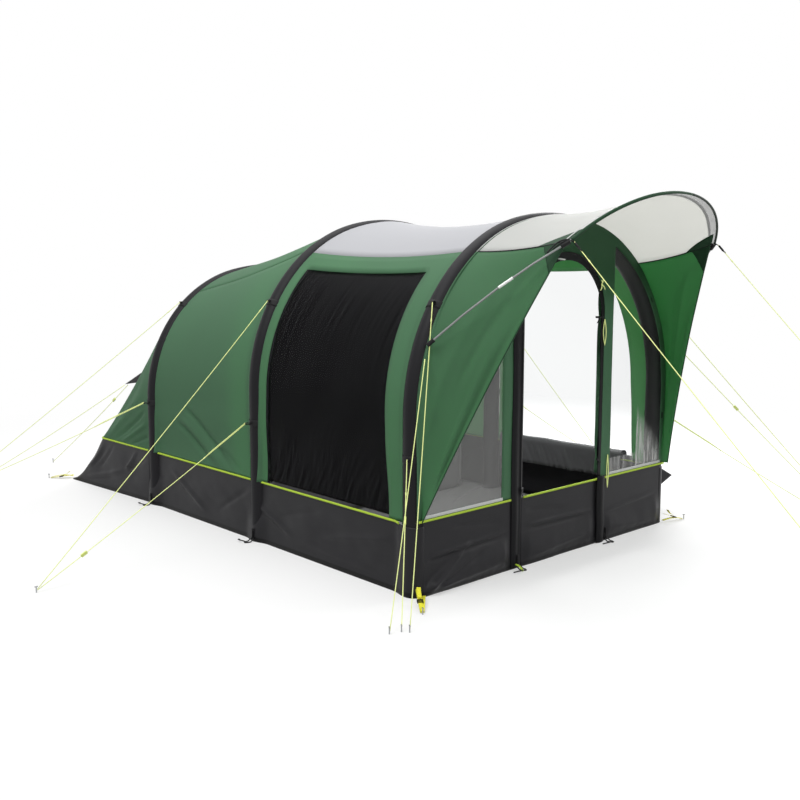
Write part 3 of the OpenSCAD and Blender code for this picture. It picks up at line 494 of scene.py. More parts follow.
hards = {
    "bladderFilm": {"base": (0.6, 0.62, 0.64), "rough": 0.35, "grain": 60.0},
    "valvePlastic": {"base": (0.06, 0.062, 0.07), "rough": 0.45},
    "poleGrey": {"base": (0.23, 0.235, 0.235), "rough": 0.36, "stretch": (1.0, 1.0, 0.1)},
    "ferruleWhite": {"slot": "ferrule_white", "base": (0.8, 0.8, 0.79), "rough": 0.35, "metal": 0.2},
    "zipMetal": {"base": (0.02, 0.02, 0.021), "rough": 0.4, "metal": 0.2},
    "bucklePlastic": {"slot": "buckle_plastic", "base": (0.006, 0.006, 0.0065), "rough": 0.45,
                      "specular": 0.2},
    "pegSteel": {"base": (0.36, 0.37, 0.38), "rough": 0.32, "metal": 0.9},
    "runnerPlastic": {"base": (0.78, 0.9, 0.25), "rough": 0.42},
}
finish, slots = {}, {}
for make, group in ((clothMaterial, looks), (filmMaterial, films), (webbingMaterial, webbings),
                    (hardMaterial, hards)):
    for name, look in group.items():
        finish[name] = make(name, look)
        slots[name] = look.get("slot")
print("finishes made", len(finish))

# The three air beams and the cloth hung between them
body = {"beamR": 0.062, "edge": 0.064, "shoulder": 78.0, "frontY": -2.05, "midY": -0.55, "rearY": 0.82,
        "backY": 2.14, "mudH": 0.402, "frontMudH": 0.43, "seamGap": 0.0025, "wallFlare": 0.025,
        "mudFlare": 0.042, "seamW": 1.7, "windowW": 1.594, "wallDip": 0.4, "roofDip": 0.3, "rise": 0.034,
        "crown": 0.05}
lap = {"turn": 8, "footTurn": 30, "ease": 1.3, "off": 0.0036, "rush": 1.6}
faceY = body["frontY"] - body["beamR"]


def mix(a, b, t):
    return a + (b - a) * t


def smooth(a, b, x):
    t = max(0.0, min(1.0, (x - a) / (b - a)))
    return t * t * (3 - 2 * t)


def steps(a, b, n):
    return [mix(a, b, i / n) for i in range(n + 1)]


def hump(k):
    return sin(pi * k)


def turns(n):
    return [2 * pi * k / n for k in range(n)]


def archOf(half, high, leg):
    c, s = cos(radians(body["shoulder"])), sin(radians(body["shoulder"]))
    rise = high - leg
    share = (1 - c) * (1 - s) - c * s
    return {"half": half, "high": high, "leg": leg, "side": (half * (1 - s) - c * rise) / share,
            "top": ((1 - c) * rise - s * half) / share}


wide, tall, low = archOf(1.23, 2.13, 0.99), archOf(1.2, 2.13, 0.99), archOf(1.184, 1.82, 0.8)


# Round an arch, u runs 0 to 6: a leg, a shoulder and half the crown on each side
def turnAt(u):
    if u > 3:
        return 180 - turnAt(6 - u)
    if u <= 1:
        return 0.0
    return body["shoulder"] * (u - 1) if u <= 2 else mix(body["shoulder"], 90, u - 2)


def outAt(u):
    a = radians(turnAt(u))
    return Vector((-cos(a), sin(a)))


def archAt(arch, u, inset=body["beamR"]):
    if u > 3:
        p = archAt(arch, 6 - u, inset)
        return Vector((-p.x, p.y))
    if u <= 1:
        return Vector((inset - arch["half"], arch["leg"] * u))
    if u <= 2:
        return Vector((arch["side"] - arch["half"], arch["leg"])) + (arch["side"] - inset) * outAt(u)
    return Vector((0, arch["high"] - arch["top"])) + (arch["top"] - inset) * outAt(u)


# On a wall, w is like u but starts at the mud wall's top
def overMud(w, leg):
    if w > 3:
        return 6 - overMud(6 - w, leg)
    return w if w >= 1 else mix((body["mudH"] + body["seamGap"]) / leg, 1, w)


def flareAt(w):
    k = min(w, 6 - w)
    return body["wallFlare"] * (1 - k) ** 2 if k < 1 else 0.0


def dipAt(w):
    k = min(w, 6 - w)
    return body["wallDip"] * k if k < 1 else body["wallDip"] + body["roofDip"] * (k - 1)


# Beside a beam the cloth stands out to the sleeve's shoulder, and over the roof nearly to its crown
def riseAt(w):
    k = min(w, 6 - w)
    return mix(body["rise"], body["crown"], smooth(1.2, 3, k)) * smooth(0, 0.8, k)


# From its edge beside a beam the cloth laps a little way up the sleeve
def lapAt(arch, y, sign, u, out, turn, e):
    start = atan2(out, body["edge"])
    angle = mix(start, start + radians(turn), e)
    r = mix(hypot(out, body["edge"]), body["beamR"] + lap["off"], min(1.0, lap["rush"] * e))
    p = archAt(arch, u) + outAt(u) * r * sin(angle)
    return Vector((p.x, y + sign * r * cos(angle), p.y))


def lapTurn(w):
    return lap["turn"] + lap["footTurn"] * (1 - min(1.0, w, 6 - w)) ** lap["ease"]


# v runs 0 to 1 along a bay; below 0 and above 1 the cloth laps round the sleeves
def bayOf(a, yA, b, yB, sag, lift=0.0):
    y0, y1 = yA + body["edge"], yB - body["edge"]

    def at(w, v, d=0.0):
        out = flareAt(w) + riseAt(w) + lift * smooth(0.9, 1.6, min(w, 6 - w)) * smooth(0.5, 1, v)
        if v < 0:
            return lapAt(a, yA, 1, overMud(w, a["leg"]), out, lapTurn(w), -v)
        if v > 1:
            return lapAt(b, yB, -1, overMud(w, b["leg"]), out, lapTurn(w), v - 1)
        u = overMud(w, mix(a["leg"], b["leg"], v))
        p = mix(archAt(a, u), archAt(b, u), v)
        q = p + outAt(u) * (d + out - sag * 4 * v * (1 - v) * dipAt(w))
        return Vector((q.x, mix(y0, y1, v), q.y))
    return at


bays = {"livingSag": 0.058, "sleepingSag": 0.022, "rearLift": 0.012}
living = bayOf(wide, body["frontY"], tall, body["midY"], bays["livingSag"])
sleeping = bayOf(tall, body["midY"], low, body["rearY"], bays["sleepingSag"], bays["rearLift"])

cuts = {}  # what each sheet was cut to: width, length, area
leastCut = 0.31  # a cut with openings still counts as this share of its width times its length


def runAlong(points):
    run = [0.0]
    for a, b in zip(points, points[1:]):
        run.append(run[-1] + (b - a).length)
    return run


def placed(name, work):
    mesh = bpy.data.meshes.new(name)
    work.to_mesh(mesh)
    work.free()
    made = bpy.data.objects.new(name, mesh)
    bpy.context.scene.collection.objects.link(made)
    return made


# Builds a sheet from rows of points, with a flat map in metres
def sheetOf(name, us, vs, at, keep=None):
    grid = [[Vector(at(u, v)) for v in vs] for u in us]
    columns = list(zip(*grid))
    runU, runV = runAlong(columns[len(vs) // 2]), runAlong(grid[len(us) // 2])
    work = bmesh.new()
    points = [[work.verts.new(p) for p in row] for row in grid]
    layer = work.loops.layers.uv.new("flat")
    for i in range(len(us) - 1):
        for j in range(len(vs) - 1):
            if keep and not keep(i, j):
                continue
            corners = ((i, j), (i + 1, j), (i + 1, j + 1), (i, j + 1))
            face = work.faces.new([points[a][b] for a, b in corners])
            face.smooth = True
            for loop, (a, b) in zip(face.loops, corners):
                loop[layer].uv = (runU[a], runV[b])
    bmesh.ops.delete(work, geom=[v for v in work.verts if not v.link_faces], context="VERTS")
    cuts[name] = (max(runAlong(column)[-1] for column in columns), max(runAlong(row)[-1] for row in grid),
                  sum(face.calc_area() for face in work.faces))
    return placed(name, work)


def useOnly(*objects):
    bpy.ops.object.select_all(action="DESELECT")
    for each in objects:
        each.select_set(True)
    bpy.context.view_layer.objects.active = objects[0]


def thicken(made, t, offset=0.0):
    useOnly(made)
    shell = made.modifiers.new("shell", "SOLIDIFY")
    shell.thickness, shell.offset, shell.use_even_offset = t, offset, False
    bpy.ops.object.modifier_apply(modifier="shell")


def joined(name, objects):
    useOnly(*objects)
    if len(objects) > 1:
        bpy.ops.object.join()
    objects[0].name = objects[0].data.name = name
    return objects[0]


def dress(made, look, node=None, rides="tent", slot=None):
    made.data.materials.clear()
    made.data.materials.append(finish[look])
    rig.ride(made, rides)
    if node:
        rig.replaces(made, node)
    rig.slot(made, slot or slots[look])
    return made


def declare(made, held, parts, flat=None):
    sizes = [cuts[each] for each in parts]
    wideCut, longCut = flat or (sum(each[0] for each in sizes), max(each[1] for each in sizes))
    area = max(sum(each[2] for each in sizes), leastCut * wideCut * longCut)
    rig.sheet(made, flat=(round(wideCut, 3), round(longCut, 3)), held=held,
             area=round(min(area, wideCut * longCut), 4))


# Sheets or ribbons joined to one declared piece; ribbons already have their thickness
def sewn(name, sheets, t, look, node=None, held="stretched", flat=None, slot=None):
    parts = [each.name for each in sheets]
    made = joined(name, sheets)
    if t:
        thicken(made, t)
    dress(made, look, node, slot=slot)
    declare(made, held, parts, flat)
    return made


def cloth(name, us, vs, at, t, look, node=None, held="stretched", keep=None, flat=None, slot=None):
    return sewn(name, [sheetOf(name, us, vs, at, keep)], t, look, node, held, flat, slot)


def flipX(p):
    return Vector((-p[0], p[1], p[2]))


def ripple(p, scale, seed=0.0):
    return noise.noise(Vector((p.x * scale[0] + seed, p.y * scale[1] - seed, p.z * scale[2] + 2 * seed)))


def noiseAt(x, y, z):
    return noise.noise(Vector((x, y, z)))


# A fold that fades out along its length: a ridge or valley between two places on the flat map
def foldAt(u, v, fold):
    (u0, v0), (u1, v1), width, deep = fold
    du, dv = u1 - u0, v1 - v0
    long = hypot(du, dv)
    s = ((u - u0) * du + (v - v0) * dv) / (long * long)
    off = ((u - u0) * dv - (v - v0) * du) / long
    if s < -0.05 or s > 1.05:
        return 0.0
    fade = smooth(-0.05, 0.2, s) * smooth(1.05, 0.7, s) if s > 0.5 else smooth(-0.05, 0.2, s)
    return deep * fade * exp(-(off / width) ** 2)


def foldsAt(u, v, folds):
    return sum(foldAt(u, v, fold) for fold in folds)


def normalOf(at, u, v, eps=0.004):
    n = (at(u + eps, v) - at(u - eps, v)).cross(at(u, v + eps) - at(u, v - eps))
    return n.normalized() if n.length > 1e-9 else Vector((0, 0, 1))


# A tube with its own flat map along a line of points
def tubeOf(name, line, radius, around=10, squash=(1.0, 1.0), closed=False):
    line = [Vector(p) for p in line]
    count = len(line)
    side = None
    rings = []
    for i, p in enumerate(line):
        ahead = line[(i + 1) % count] if closed else line[min(i + 1, count - 1)]
        behind = line[i - 1] if closed or i else line[0]
        t = (ahead - behind).normalized()
        if side is None:
            side = t.orthogonal().normalized() if abs(t.z) > 0.9 else t.cross(Vector((0, 0, 1))).normalized()
        side = (side - t * side.dot(t)).normalized()
        up = side.cross(t)
        r = radius(i / max(1, count - 1)) if callable(radius) else radius
        rings.append([p + side * r * squash[0] * cos(a) + up * r * squash[1] * sin(a)
                      for a in turns(around)])
    work = bmesh.new()
    layer = work.loops.layers.uv.new("flat")
    points = [[work.verts.new(p) for p in ring] for ring in rings]
    run = runAlong(line + line[:1])
    girth = 2 * pi * (radius(0.5) if callable(radius) else radius)
    for i in range(count if closed else count - 1):
        for k in range(around):
            j, m = (i + 1) % count, (k + 1) % around
            face = work.faces.new((points[i][k], points[i][m], points[j][m], points[j][k]))
            face.smooth = True
            for loop, (a, b) in zip(face.loops, ((i, k), (i, k + 1), (i + 1, k + 1), (i + 1, k))):
                loop[layer].uv = (girth * b / around, run[a])
    if not closed:
        work.faces.new(points[0][::-1])
        work.faces.new(points[-1])
    bmesh.ops.recalc_face_normals(work, faces=work.faces)
    return placed(name, work)


# A strip of webbing or tape along a line; side is the direction of its width at each point
def ribbonOf(name, line, width, side, t=0.0018, across=4):
    line = [Vector(p) for p in line]
    made = sheetOf(name, list(range(len(line))), steps(-0.5, 0.5, across),
                   lambda i, k: line[i] + Vector(side(i) if callable(side) else side) * width * k)
    thicken(made, t)
    return made


# The sloping rear end: corners on the ground and at the mud wall's top, rounded in plan
rear = {"cornerLow": Vector((-1.232, body["backY"])), "cornerHigh": Vector((-1.15, body["backY"] - 0.44)),
        "corner": 1.4, "round": 0.1, "footU": 0.3, "behind": 0.03, "sag": 0.03, "hollow": 0.65}


def rearRun(w, h):
    c = mix(rear["cornerLow"], rear["cornerHigh"], h)
    s = Vector((archAt(low, rear["footU"]).x - mix(body["mudFlare"], body["wallFlare"], h),
                body["rearY"] + body["edge"] + rear["behind"]))
    if w <= rear["corner"]:
        return mix(s, c, w / rear["corner"])
    return Vector((mix(c.x, 0.0, (w - rear["corner"]) / (3 - rear["corner"])), c.y))


def rearPlan(w, h):
    if w > 3:
        p = rearPlan(6 - w, h)
        return Vector((-p.x, p.y))
    if abs(w - rear["corner"]) >= rear["round"]:
        return rearRun(w, h)
    t = (w - rear["corner"] + rear["round"]) / (2 * rear["round"])
    a, b, c = (rearRun(rear["corner"] + k * rear["round"], h) for k in (-1, 0, 1))
    return mix(mix(a, b, t), mix(b, c, t), t)


def tailAt(w, t, lift=1.0):
    u = overMud(w, low["leg"])
    out = flareAt(w) + riseAt(w) * lift
    if t < 0:
        return lapAt(low, body["rearY"], 1, u, out, lapTurn(w), -t)
    p = archAt(low, u) + outAt(u) * out
    e = rearPlan(w, 1.0)
    a = Vector((p.x, body["rearY"] + body["edge"], p.y))
    b = Vector((e.x, e.y, body["mudH"] + body["seamGap"]))
    return mix(a, b, t) - Vector((0, 1, 0.6)) * rear["sag"] * 4 * t * (1 - t) * min(1.0, min(w, 6 - w) / 2)


def flatTail(w, t):
    return tailAt(w, t, 0.0)


rearHood = {"w": 1.56, "z": 0.93, "off": 0.009, "reach": Vector((0, 0.35, -0.09)),
            "gap": Vector((0, 0.006, 0)), "root": 0.075, "rootOff": 0.003, "web": 0.075, "webRun": 1.6,
            "webOff": 0.004, "webStart": 0.02, "hollow": 0.15, "belly": 0.012, "t": 0.002}


def hoodAt(w, k):
    z = archAt(low, w).y
    t = (z - rearHood["z"]) / (z - body["mudH"])
    off = normalOf(flatTail, w, t) * rearHood["off"]
    return flatTail(w, t) + off + k * rearHood["reach"] + rearHood["gap"]


# Guylines: each hangs a little slack from its tab to its peg, knotted below the tab
guy = {"d": 0.005, "slack": 0.012, "pegR": 0.0035, "gap": 0.0004, "points": 23, "sides": 8, "knot": 0.011,
       "knotSteps": 5, "bulge": 0.85, "twin": 0.0065, "z": 0.012, "upperZ": 0.018, "lowerZ": 0.006}
pegs = {"left": (-2.69, -0.58), "leftRear": (-2.17, 2.27), "hoodFar": (-1.69, 2.75),
        "hoodNear": (-1.05, 2.88), "leftFront": (-1.67, -2.396), "leftLow": (-1.606, -2.416),
        "leftOut": (-1.58, -2.448), "canopyLeft": (-0.7, -4.7), "canopyRight": (0.7, -4.7),
        "rightFront": (1.89, -3.23), "right": (2.69, -0.58)}
tabY = body["frontY"] - 0.024
tabs = {"midUpper": (tall, body["midY"], 1.4, 0.014), "midLower": (tall, body["midY"], 0.8, 0.046),
        "frontUpper": (wide, tabY, 1.43, 0.014), "frontLower": (wide, tabY, 0.78, 0.012),
        "rearUpper": (low, body["rearY"], 1.59, 0.012), "rearLower": (low, body["rearY"], 0.98, 0.038)}
porch = {"tipX": 0.707, "tipY": faceY - 0.615, "tipZ": 1.943, "browY": faceY - 0.814, "browZ": 2.207,
         "hoop": 63.5, "sag": 0.016, "midSag": 0.03, "pocket": (-1.15, faceY - 0.026, 1.4), "bow": 0.03,
         "seamRight": 1.63}
pocketEnd = Vector((-1.174, faceY - 0.024, 1.323))
tipEnd = Vector((-0.711, porch["tipY"] - 0.022, 1.937))


def tabEnd(name, side):
    arch, y, u, long = tabs[name]
    p = archAt(arch, u, -long - 0.004)
    return Vector((-side * p.x, y, p.y))


def tautLine(a, peg, z):
    a, b = Vector(a), Vector((*pegs[peg], z))
    away = Vector((a.x - b.x, a.y - b.y, 0)).normalized()
    b += away * (guy["pegR"] + guy["d"] / 2 + guy["gap"])
    return lambda s: mix(a, b, s) - Vector((0, 0, guy["slack"] * 4 * s * (1 - s)))


hoodTip = hoodAt(rearHood["w"], 1.0)
ends = {
    "guyMidUpperLeft": (tabEnd("midUpper", -1), "left", guy["upperZ"]),
    "guyMidLowerLeft": (tabEnd("midLower", -1), "left", guy["z"]),
    "guyRearUpperLeft": (tabEnd("rearUpper", -1), "leftRear", guy["upperZ"]),
    "guyRearLowerLeft": (tabEnd("rearLower", -1), "leftRear", guy["z"]),
    "guyHoodFar": (hoodTip - Vector((0.004, 0, 0.006)), "hoodFar", guy["z"]),
    "guyHoodNear": (hoodTip + Vector((0.024, 0, -0.008)), "hoodNear", guy["z"]),
    "guyFrontUpperLeft": (tabEnd("frontUpper", -1), "leftOut", guy["z"]),
    "guyFrontLowerLeft": (tabEnd("frontLower", -1), "leftLow", guy["z"]),
    "guyPocketLeft": (pocketEnd, "leftFront", guy["z"]),
    "guyMidUpperRight": (tabEnd("midUpper", 1), "right", guy["upperZ"]),
    "guyMidLowerRight": (tabEnd("midLower", 1), "right", guy["z"]),
    "guyFrontUpperRight": (tabEnd("frontUpper", 1), "rightFront", guy["upperZ"]),
    "guyPocketRight": (flipX(pocketEnd), "rightFront", guy["z"]),
    "guyFrontLowerRight": (tabEnd("frontLower", 1), "rightFront", guy["lowerZ"]),
    "guyCanopyLeft": (tipEnd, "canopyLeft", guy["z"]),
    "guyCanopyRight": (flipX(tipEnd), "canopyRight", guy["z"]),
}
knots = {"guyMidLowerLeft": 0.22, "guyRearLowerLeft": 0.24, "guyFrontLowerLeft": 0.2,
         "guyMidLowerRight": 0.22, "guyFrontLowerRight": 0.3, "guyFrontUpperLeft": 0.06,
         "guyCanopyLeft": 0.05, "guyCanopyRight": 0.05, "guyMidUpperLeft": 0.04, "guyRearUpperLeft": 0.05,
         "guyHoodNear": 0.3}
twinned = ("guyMidLowerLeft", "guyRearLowerLeft", "guyFrontLowerLeft", "guyMidLowerRight",
           "guyFrontLowerRight")
routes = {name: tautLine(*end) for name, end in ends.items()}


def guyNode(name):
    if "Canopy" in name:
        return "canopy_guylines"
    return "right_guylines" if name.endswith("Right") else "left_guylines"


for name, at in routes.items():
    places = steps(0, 1, guy["points"] - 1)
    line = [at(s) for s in places]
    long = sum((b - a).length for a, b in zip(line, line[1:]))
    knot = knots.get(name)
    if knot:
        reach = range(-guy["knotSteps"], guy["knotSteps"] + 1)
        places = sorted(places + [knot + k * guy["knot"] / (guy["knotSteps"] * long) for k in reach])

    def girth(k):
        off = (places[round(k * (len(places) - 1))] - (knot or 9.0)) * long / guy["knot"]
        return guy["d"] / 2 * (1 + guy["bulge"] * max(0.0, 1 - off * off) * (0.8 + 0.2 * cos(9 * off)))

    cord = dress(tubeOf(name, [at(s) for s in places], girth, guy["sides"]), "guyLime", guyNode(name))
    twins = []
    if name in twinned:  # the line is doubled from its tab down to the knot
        over = [at(s) + Vector((0, 0, 1)) * guy["twin"] * min(1.0, 6 * (1 - s / knot))
                for s in steps(0, knot, 10)]
        twins.append(dress(tubeOf(name + "Twin", over, guy["d"] / 2, guy["sides"]), "guyLime"))
    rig.cord(cord, exit=tuple(line[0]), length=round(long, 3), diameter=guy["d"], far_end="object",
            stiffness="limp", lay="taut", path=[tuple(p) for p in line], with_pieces=twins)
print("guylines", len(routes))

# Beam sleeves: inflated tubes with puckers on the inside of the bends
sleeve = {"around": 32, "stations": 190, "off": 0.0014, "pucker": 0.0016, "slack": 0.0007, "straight": 0.35,
          "low": 0.0035, "ends": (0.006, 5.994), "wall": 0.0015}
for part, arch, y in (("front", wide, body["frontY"]), ("middle", tall, body["midY"]),
                      ("rear", low, body["rearY"])):
    def skin(u, k):
        a = 2 * pi * k
        c, o = archAt(arch, u), outAt(u)
        inner = max(0.0, -cos(a))
        bend = 1.0 if 1.02 < u < 1.98 or 4.02 < u < 4.98 else sleeve["straight"]
        wrinkle = sin(u * 150 + 3 * sin(7 * a + u * 9)) * inner * bend
        slack = noiseAt(u * 9, cos(a) * 1.3, sin(a) * 1.3)
        r = body["beamR"] + sleeve["off"] - sleeve["pucker"] * (0.5 + 0.5 * wrinkle) * (inner * bend)
        r -= sleeve["slack"] * abs(slack)
        z = max(sleeve["low"], c.y + o.y * r * cos(a))
        return Vector((c.x + o.x * r * cos(a), y + r * sin(a), z))

    name = part + "Sleeve"
    made = sheetOf(name, steps(*sleeve["ends"], sleeve["stations"]), steps(0, 1, sleeve["around"]), skin)
    useOnly(made)
    bpy.ops.object.mode_set(mode="EDIT")
    bpy.ops.mesh.select_all(action="SELECT")
    bpy.ops.mesh.remove_doubles(threshold=0.00005)
    bpy.ops.mesh.normals_make_consistent(inside=False)
    bpy.ops.object.mode_set(mode="OBJECT")
    thicken(made, sleeve["wall"], -1.0)
    dress(made, "sleeveBlack", part + "_beam_sleeve")
    declare(made, "stretched", [name])
print("beam sleeves")

# Living bay: pale roof, window frames, films, left blind drawn up
panel = {"t": 0.0016, "rows": 64, "cols": 44, "wallRows": 56}
lapRows = [-1, -0.66, -0.33]
bayRows = lapRows + steps(0, 1, panel["cols"]) + [1.33, 1.66, 2]
roofRows = steps(body["seamW"], 6 - body["seamW"], panel["rows"])
cloth("livingRoof", roofRows, bayRows, living, panel["t"], "greyRoof", "living_roof_panel")

window = {"front": (0.085, 0.125), "rear": (0.965, 0.95), "rows": 40, "frontCols": 4, "cols": 30,
          "rearCols": 3, "top": [1.63, 1.665, 1.7], "film": 36, "filmT": 0.0006, "filmIn": -0.0013,
          "filmUp": 0.014, "slack": 0.003}


def paneV(w, v):
    k = min(w, 6 - w) / body["windowW"]
    front, back = mix(*window["front"], k), mix(*window["rear"], k)
    if v <= 1:
        return v * front if v > 0 else v
    if v <= 2:
        return mix(front, back, v - 1)
    return mix(back, 1.0, v - 2) if v <= 3 else v - 2


def paned(w, v, d=0.0):
    return living(w, paneV(w, v), d)


def frameKeep(i, j):
    start = len(lapRows) + window["frontCols"]
    return i >= window["rows"] or not start <= j < start + window["cols"]


wallRows = steps(0, body["windowW"], window["rows"]) + window["top"]
paneCols = lapRows + steps(0, 1, window["frontCols"]) + steps(1, 2, window["cols"])[1:]
paneCols += steps(2, 3, window["rearCols"])[1:] + [3.33, 3.66, 4]
filmRows = steps(0, body["windowW"] + window["filmUp"], window["film"])
for side, rows in (("left", wallRows), ("right", [6 - w for w in wallRows])):
    cloth(side + "WindowFrame", rows, paneCols, paned, panel["t"], "greenWall", side + "_window_frame",
          keep=frameKeep)
for side, sign, rows in (("left", -1, filmRows), ("right", 1, [6 - w for w in filmRows])):
    def filmAt(w, v):
        p = paned(w, v, window["filmIn"])
        edge = smooth(0, 0.12, v - 1) * smooth(0, 0.12, 2 - v)
        p.x += sign * edge * window["slack"] * ripple(p, (0, 5, 3), 1.0)
        return p

    cloth(side + "WindowFilm", rows, steps(1, 2, window["film"]), filmAt, window["filmT"],
          "blindFilm" if sign < 0 else "clearFilm", side + "_window_film")

# The blind is gathered at top and bottom, so it carries fine upright wrinkles there
blind = {"inset": 0.014, "rows": steps(0.03, 1.606, 72), "cols": steps(1.002, 1.998, 110), "t": 0.001,
         "fine": 0.0065, "broad": 0.0045, "plain": 0.12, "topW": 1.56, "drop": 1.1,
         "foot": (-1.15, -1.3, 0.422), "hemW": 1.578, "hemIn": 0.007, "hemR": 0.006}


def blindAt(w, v):
    p = paned(w, v, -blind["inset"])
    y = p.y
    patchy = 0.4 + 0.6 * smooth(-0.3, 0.3, noiseAt(y * 2.5, w, 7))
    ends = blind["plain"] + max(smooth(0.75, 0.03, w), 0.8 * smooth(1.0, 1.56, w)) * patchy
    lean = y * 42 + w * 9 + 1.5 * noiseAt(y * 3, w * 2, 1)
    fine = 1.2 * noiseAt(lean, w * 3.2, 5) + 0.8 * noiseAt(lean * 2.1, w * 4, 8)
    broad = noiseAt(y * 4 + w * 1.5, w * 1.1, 3)
    p.x += blind["fine"] * fine * ends + blind["broad"] * broad * smooth(0.03, 0.2, w) * smooth(1.59, 1.45, w)
    return p


made = cloth("leftBlind", blind["rows"], blind["cols"], blindAt, blind["t"], "blindBlack", "left_blind",
             "hung")
topZ, footZ = paned(blind["topW"], 1.5, -blind["inset"]).z, blind["foot"][2]
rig.squash(made, "blind_drop", axis=(0, 0, 1), anchor=blind["foot"],
          keep=(topZ - blind["drop"] - footZ) / (topZ - footZ))
hem = [paned(blind["hemW"], v, -blind["inset"] - blind["hemIn"]) for v in steps(1.001, 1.999, 40)]
dress(tubeOf("leftBlindHem", hem, blind["hemR"], 12), "blindBlack", "left_blind_hem", "blind_hem")
print("living bay")

# Sleeping bay and sloping rear end, with tension folds toward the beam feet and the rear corner
rearFolds = [((0.62, 0.76), (0.0, 0.37), 0.02, -0.019), ((0.88, 0.69), (0.0, 0.18), 0.022, -0.022),
             ((0.72, 0.73), (0.0, 0.28), 0.03, 0.011), ((0.3, 0.3), (0.0, 0.08), 0.02, -0.01)]
tailFolds = [((0.3, 0.15), (0.5, 1.0), 0.05, -0.012), ((0.58, 0.1), (0.78, 1.0), 0.05, 0.013),
             ((0.85, 0.12), (1.0, 1.0), 0.045, -0.014), ((1.08, 0.15), (1.2, 1.0), 0.04, 0.013),
             ((1.24, 0.2), (1.34, 1.0), 0.04, -0.01)]


def tailFolded(w, t):
    if t < 0:
        return tailAt(w, t)
    push = foldsAt(min(w, 6 - w), t, tailFolds) * smooth(0, 0.1, t) * smooth(1, 0.93, t)
    return tailAt(w, t) + Vector((-1 if w < 3 else 1, 0.25, 0.1)) * push


def sleepingAt(w, v):
    p = sleeping(w, v)
    if 0 <= v <= 1:
        p.x -= foldsAt(w, v, rearFolds) * smooth(0, 0.08, v) * smooth(1, 0.9, v)
    return p


wallW = steps(0, body["seamW"], panel["wallRows"])
for name, rows, cols, at, node in (
        ("rearLeftPanel", wallW, bayRows, sleepingAt, "rear_left_panel"),
        ("rearRightPanel", [6 - w for w in wallW], bayRows, sleeping, "rear_right_panel"),
        ("rearRoof", roofRows, bayRows, sleeping, "rear_roof_panel"),
        ("rearEndPanel", steps(0, 6, 150), lapRows + steps(0, 1, 50), tailFolded, "rear_end_panel")):
    cloth(name, rows, cols, at, panel["t"], "greenWall", node)
print("sleeping bay and rear")

# Mud walls: they run round the beam feet low down and tuck behind the sleeves above
mud = {"t": 0.0022, "rows": steps(0, 1, 40), "bulgeTop": 0.24, "bulgeLow": 0.09, "half": 0.13,
       "round": 0.067, "frontR": 0.0672, "frontTurn": 1.12, "behind": 0.006, "tuck": 0.045, "tuckY": 0.9,
       "crease": 0.05, "lean": (0.034, 0.016), "hem": 0.004, "flapX": -0.392, "strapX": 0.447,
       "underStrap": 0.1, "foot": 0.004}
mudWaves = {"side": (((0, 3.2, 5.0), 4.0, 0.01), ((0, 9, 14), 8.0, 0.0025)),
            "rear": (((4.0, 4.0, 6.0), 2.0, 0.009), ((11, 11, 13), 6.0, 0.002)),
            "front": (((3.0, 0, 6.0), 3.0, 0.008), ((12, 0, 9), 5.0, 0.0015))}
sideFolds = [((-1.92, 0.3), (-1.2, 0.15), 0.018, 0.01), ((-0.95, 0.11), (-0.48, 0.27), 0.018, 0.01),
             ((0.08, 0.08), (0.58, 0.31), 0.02, 0.012), ((-0.46, 0.34), (-0.05, 0.11), 0.016, -0.01),
             ((-1.8, 0.07), (-1.05, 0.1), 0.014, 0.008), ((-1.25, 0.33), (-0.8, 0.22), 0.014, -0.009)]
rearCreases = [((1.37, 0.05), (0.5, 0.5), 0.045, 0.016), ((1.28, 0.3), (1.24, 0.97), 0.035, 0.014),
               ((0.5, 0.48), (0.3, 0.97), 0.028, 0.018), ((0.5, 0.5), (0.03, 0.84), 0.03, -0.012),
               ((1.36, 0.02), (0.2, 0.22), 0.05, 0.014), ((1.1, 0.4), (0.95, 0.95), 0.03, -0.01),
               ((1.37, 0.03), (0.7, 0.28), 0.03, -0.01), ((1.34, 0.15), (1.1, 0.9), 0.03, -0.008)]
frontCrease = [(-1.18, 0.03), (-1.1, 0.09), (-0.79, 0.225), (-0.34, 0.3), (-0.33, 0.22), (0.44, 0.25),
               (0.46, 0.17), (1.18, 0.27)]
frontFolds = [((-1.15, 0.215), (-0.42, 0.25), 0.011, -0.011), ((-1.15, 0.19), (-0.45, 0.222), 0.01, 0.008),
              ((-1.16, 0.03), (-0.78, 0.25), 0.018, -0.018), ((-1.1, 0.03), (-0.66, 0.18), 0.016, 0.012),
              ((-0.95, 0.36), (-0.5, 0.31), 0.012, 0.007), ((-1.12, 0.04), (-0.5, 0.075), 0.012, -0.008),
              ((-0.32, 0.25), (0.4, 0.235), 0.011, -0.012), ((-0.3, 0.222), (0.38, 0.208), 0.01, 0.009),
              ((-0.25, 0.06), (0.36, 0.1), 0.014, -0.008), ((-0.3, 0.34), (0.1, 0.3), 0.014, 0.006),
              ((0.52, 0.2), (1.12, 0.24), 0.014, -0.007), ((0.52, 0.175), (1.12, 0.212), 0.013, 0.005),
              ((0.6, 0.08), (1.1, 0.05), 0.014, -0.006)]


def mudRipple(p, part):
    return sum(ripple(p, scale, seed) * deep for scale, seed, deep in mudWaves[part])


def creaseAt(x):
    for (x0, z0), (x1, z1) in zip(frontCrease, frontCrease[1:]):
        if x0 <= x <= x1:
            return mix(z0, z1, (x - x0) / (x1 - x0))
    return mud["crease"]


def sideHalf(y):
    a, yA, b, yB = tall, body["midY"], low, body["rearY"]
    if y < body["midY"]:
        a, yA, b, yB = wide, body["frontY"], tall, body["midY"]
    t = (y - yA - body["edge"]) / (yB - yA - 2 * body["edge"])
    return mix(a["half"], b["half"], max(0.0, min(1.0, t)))


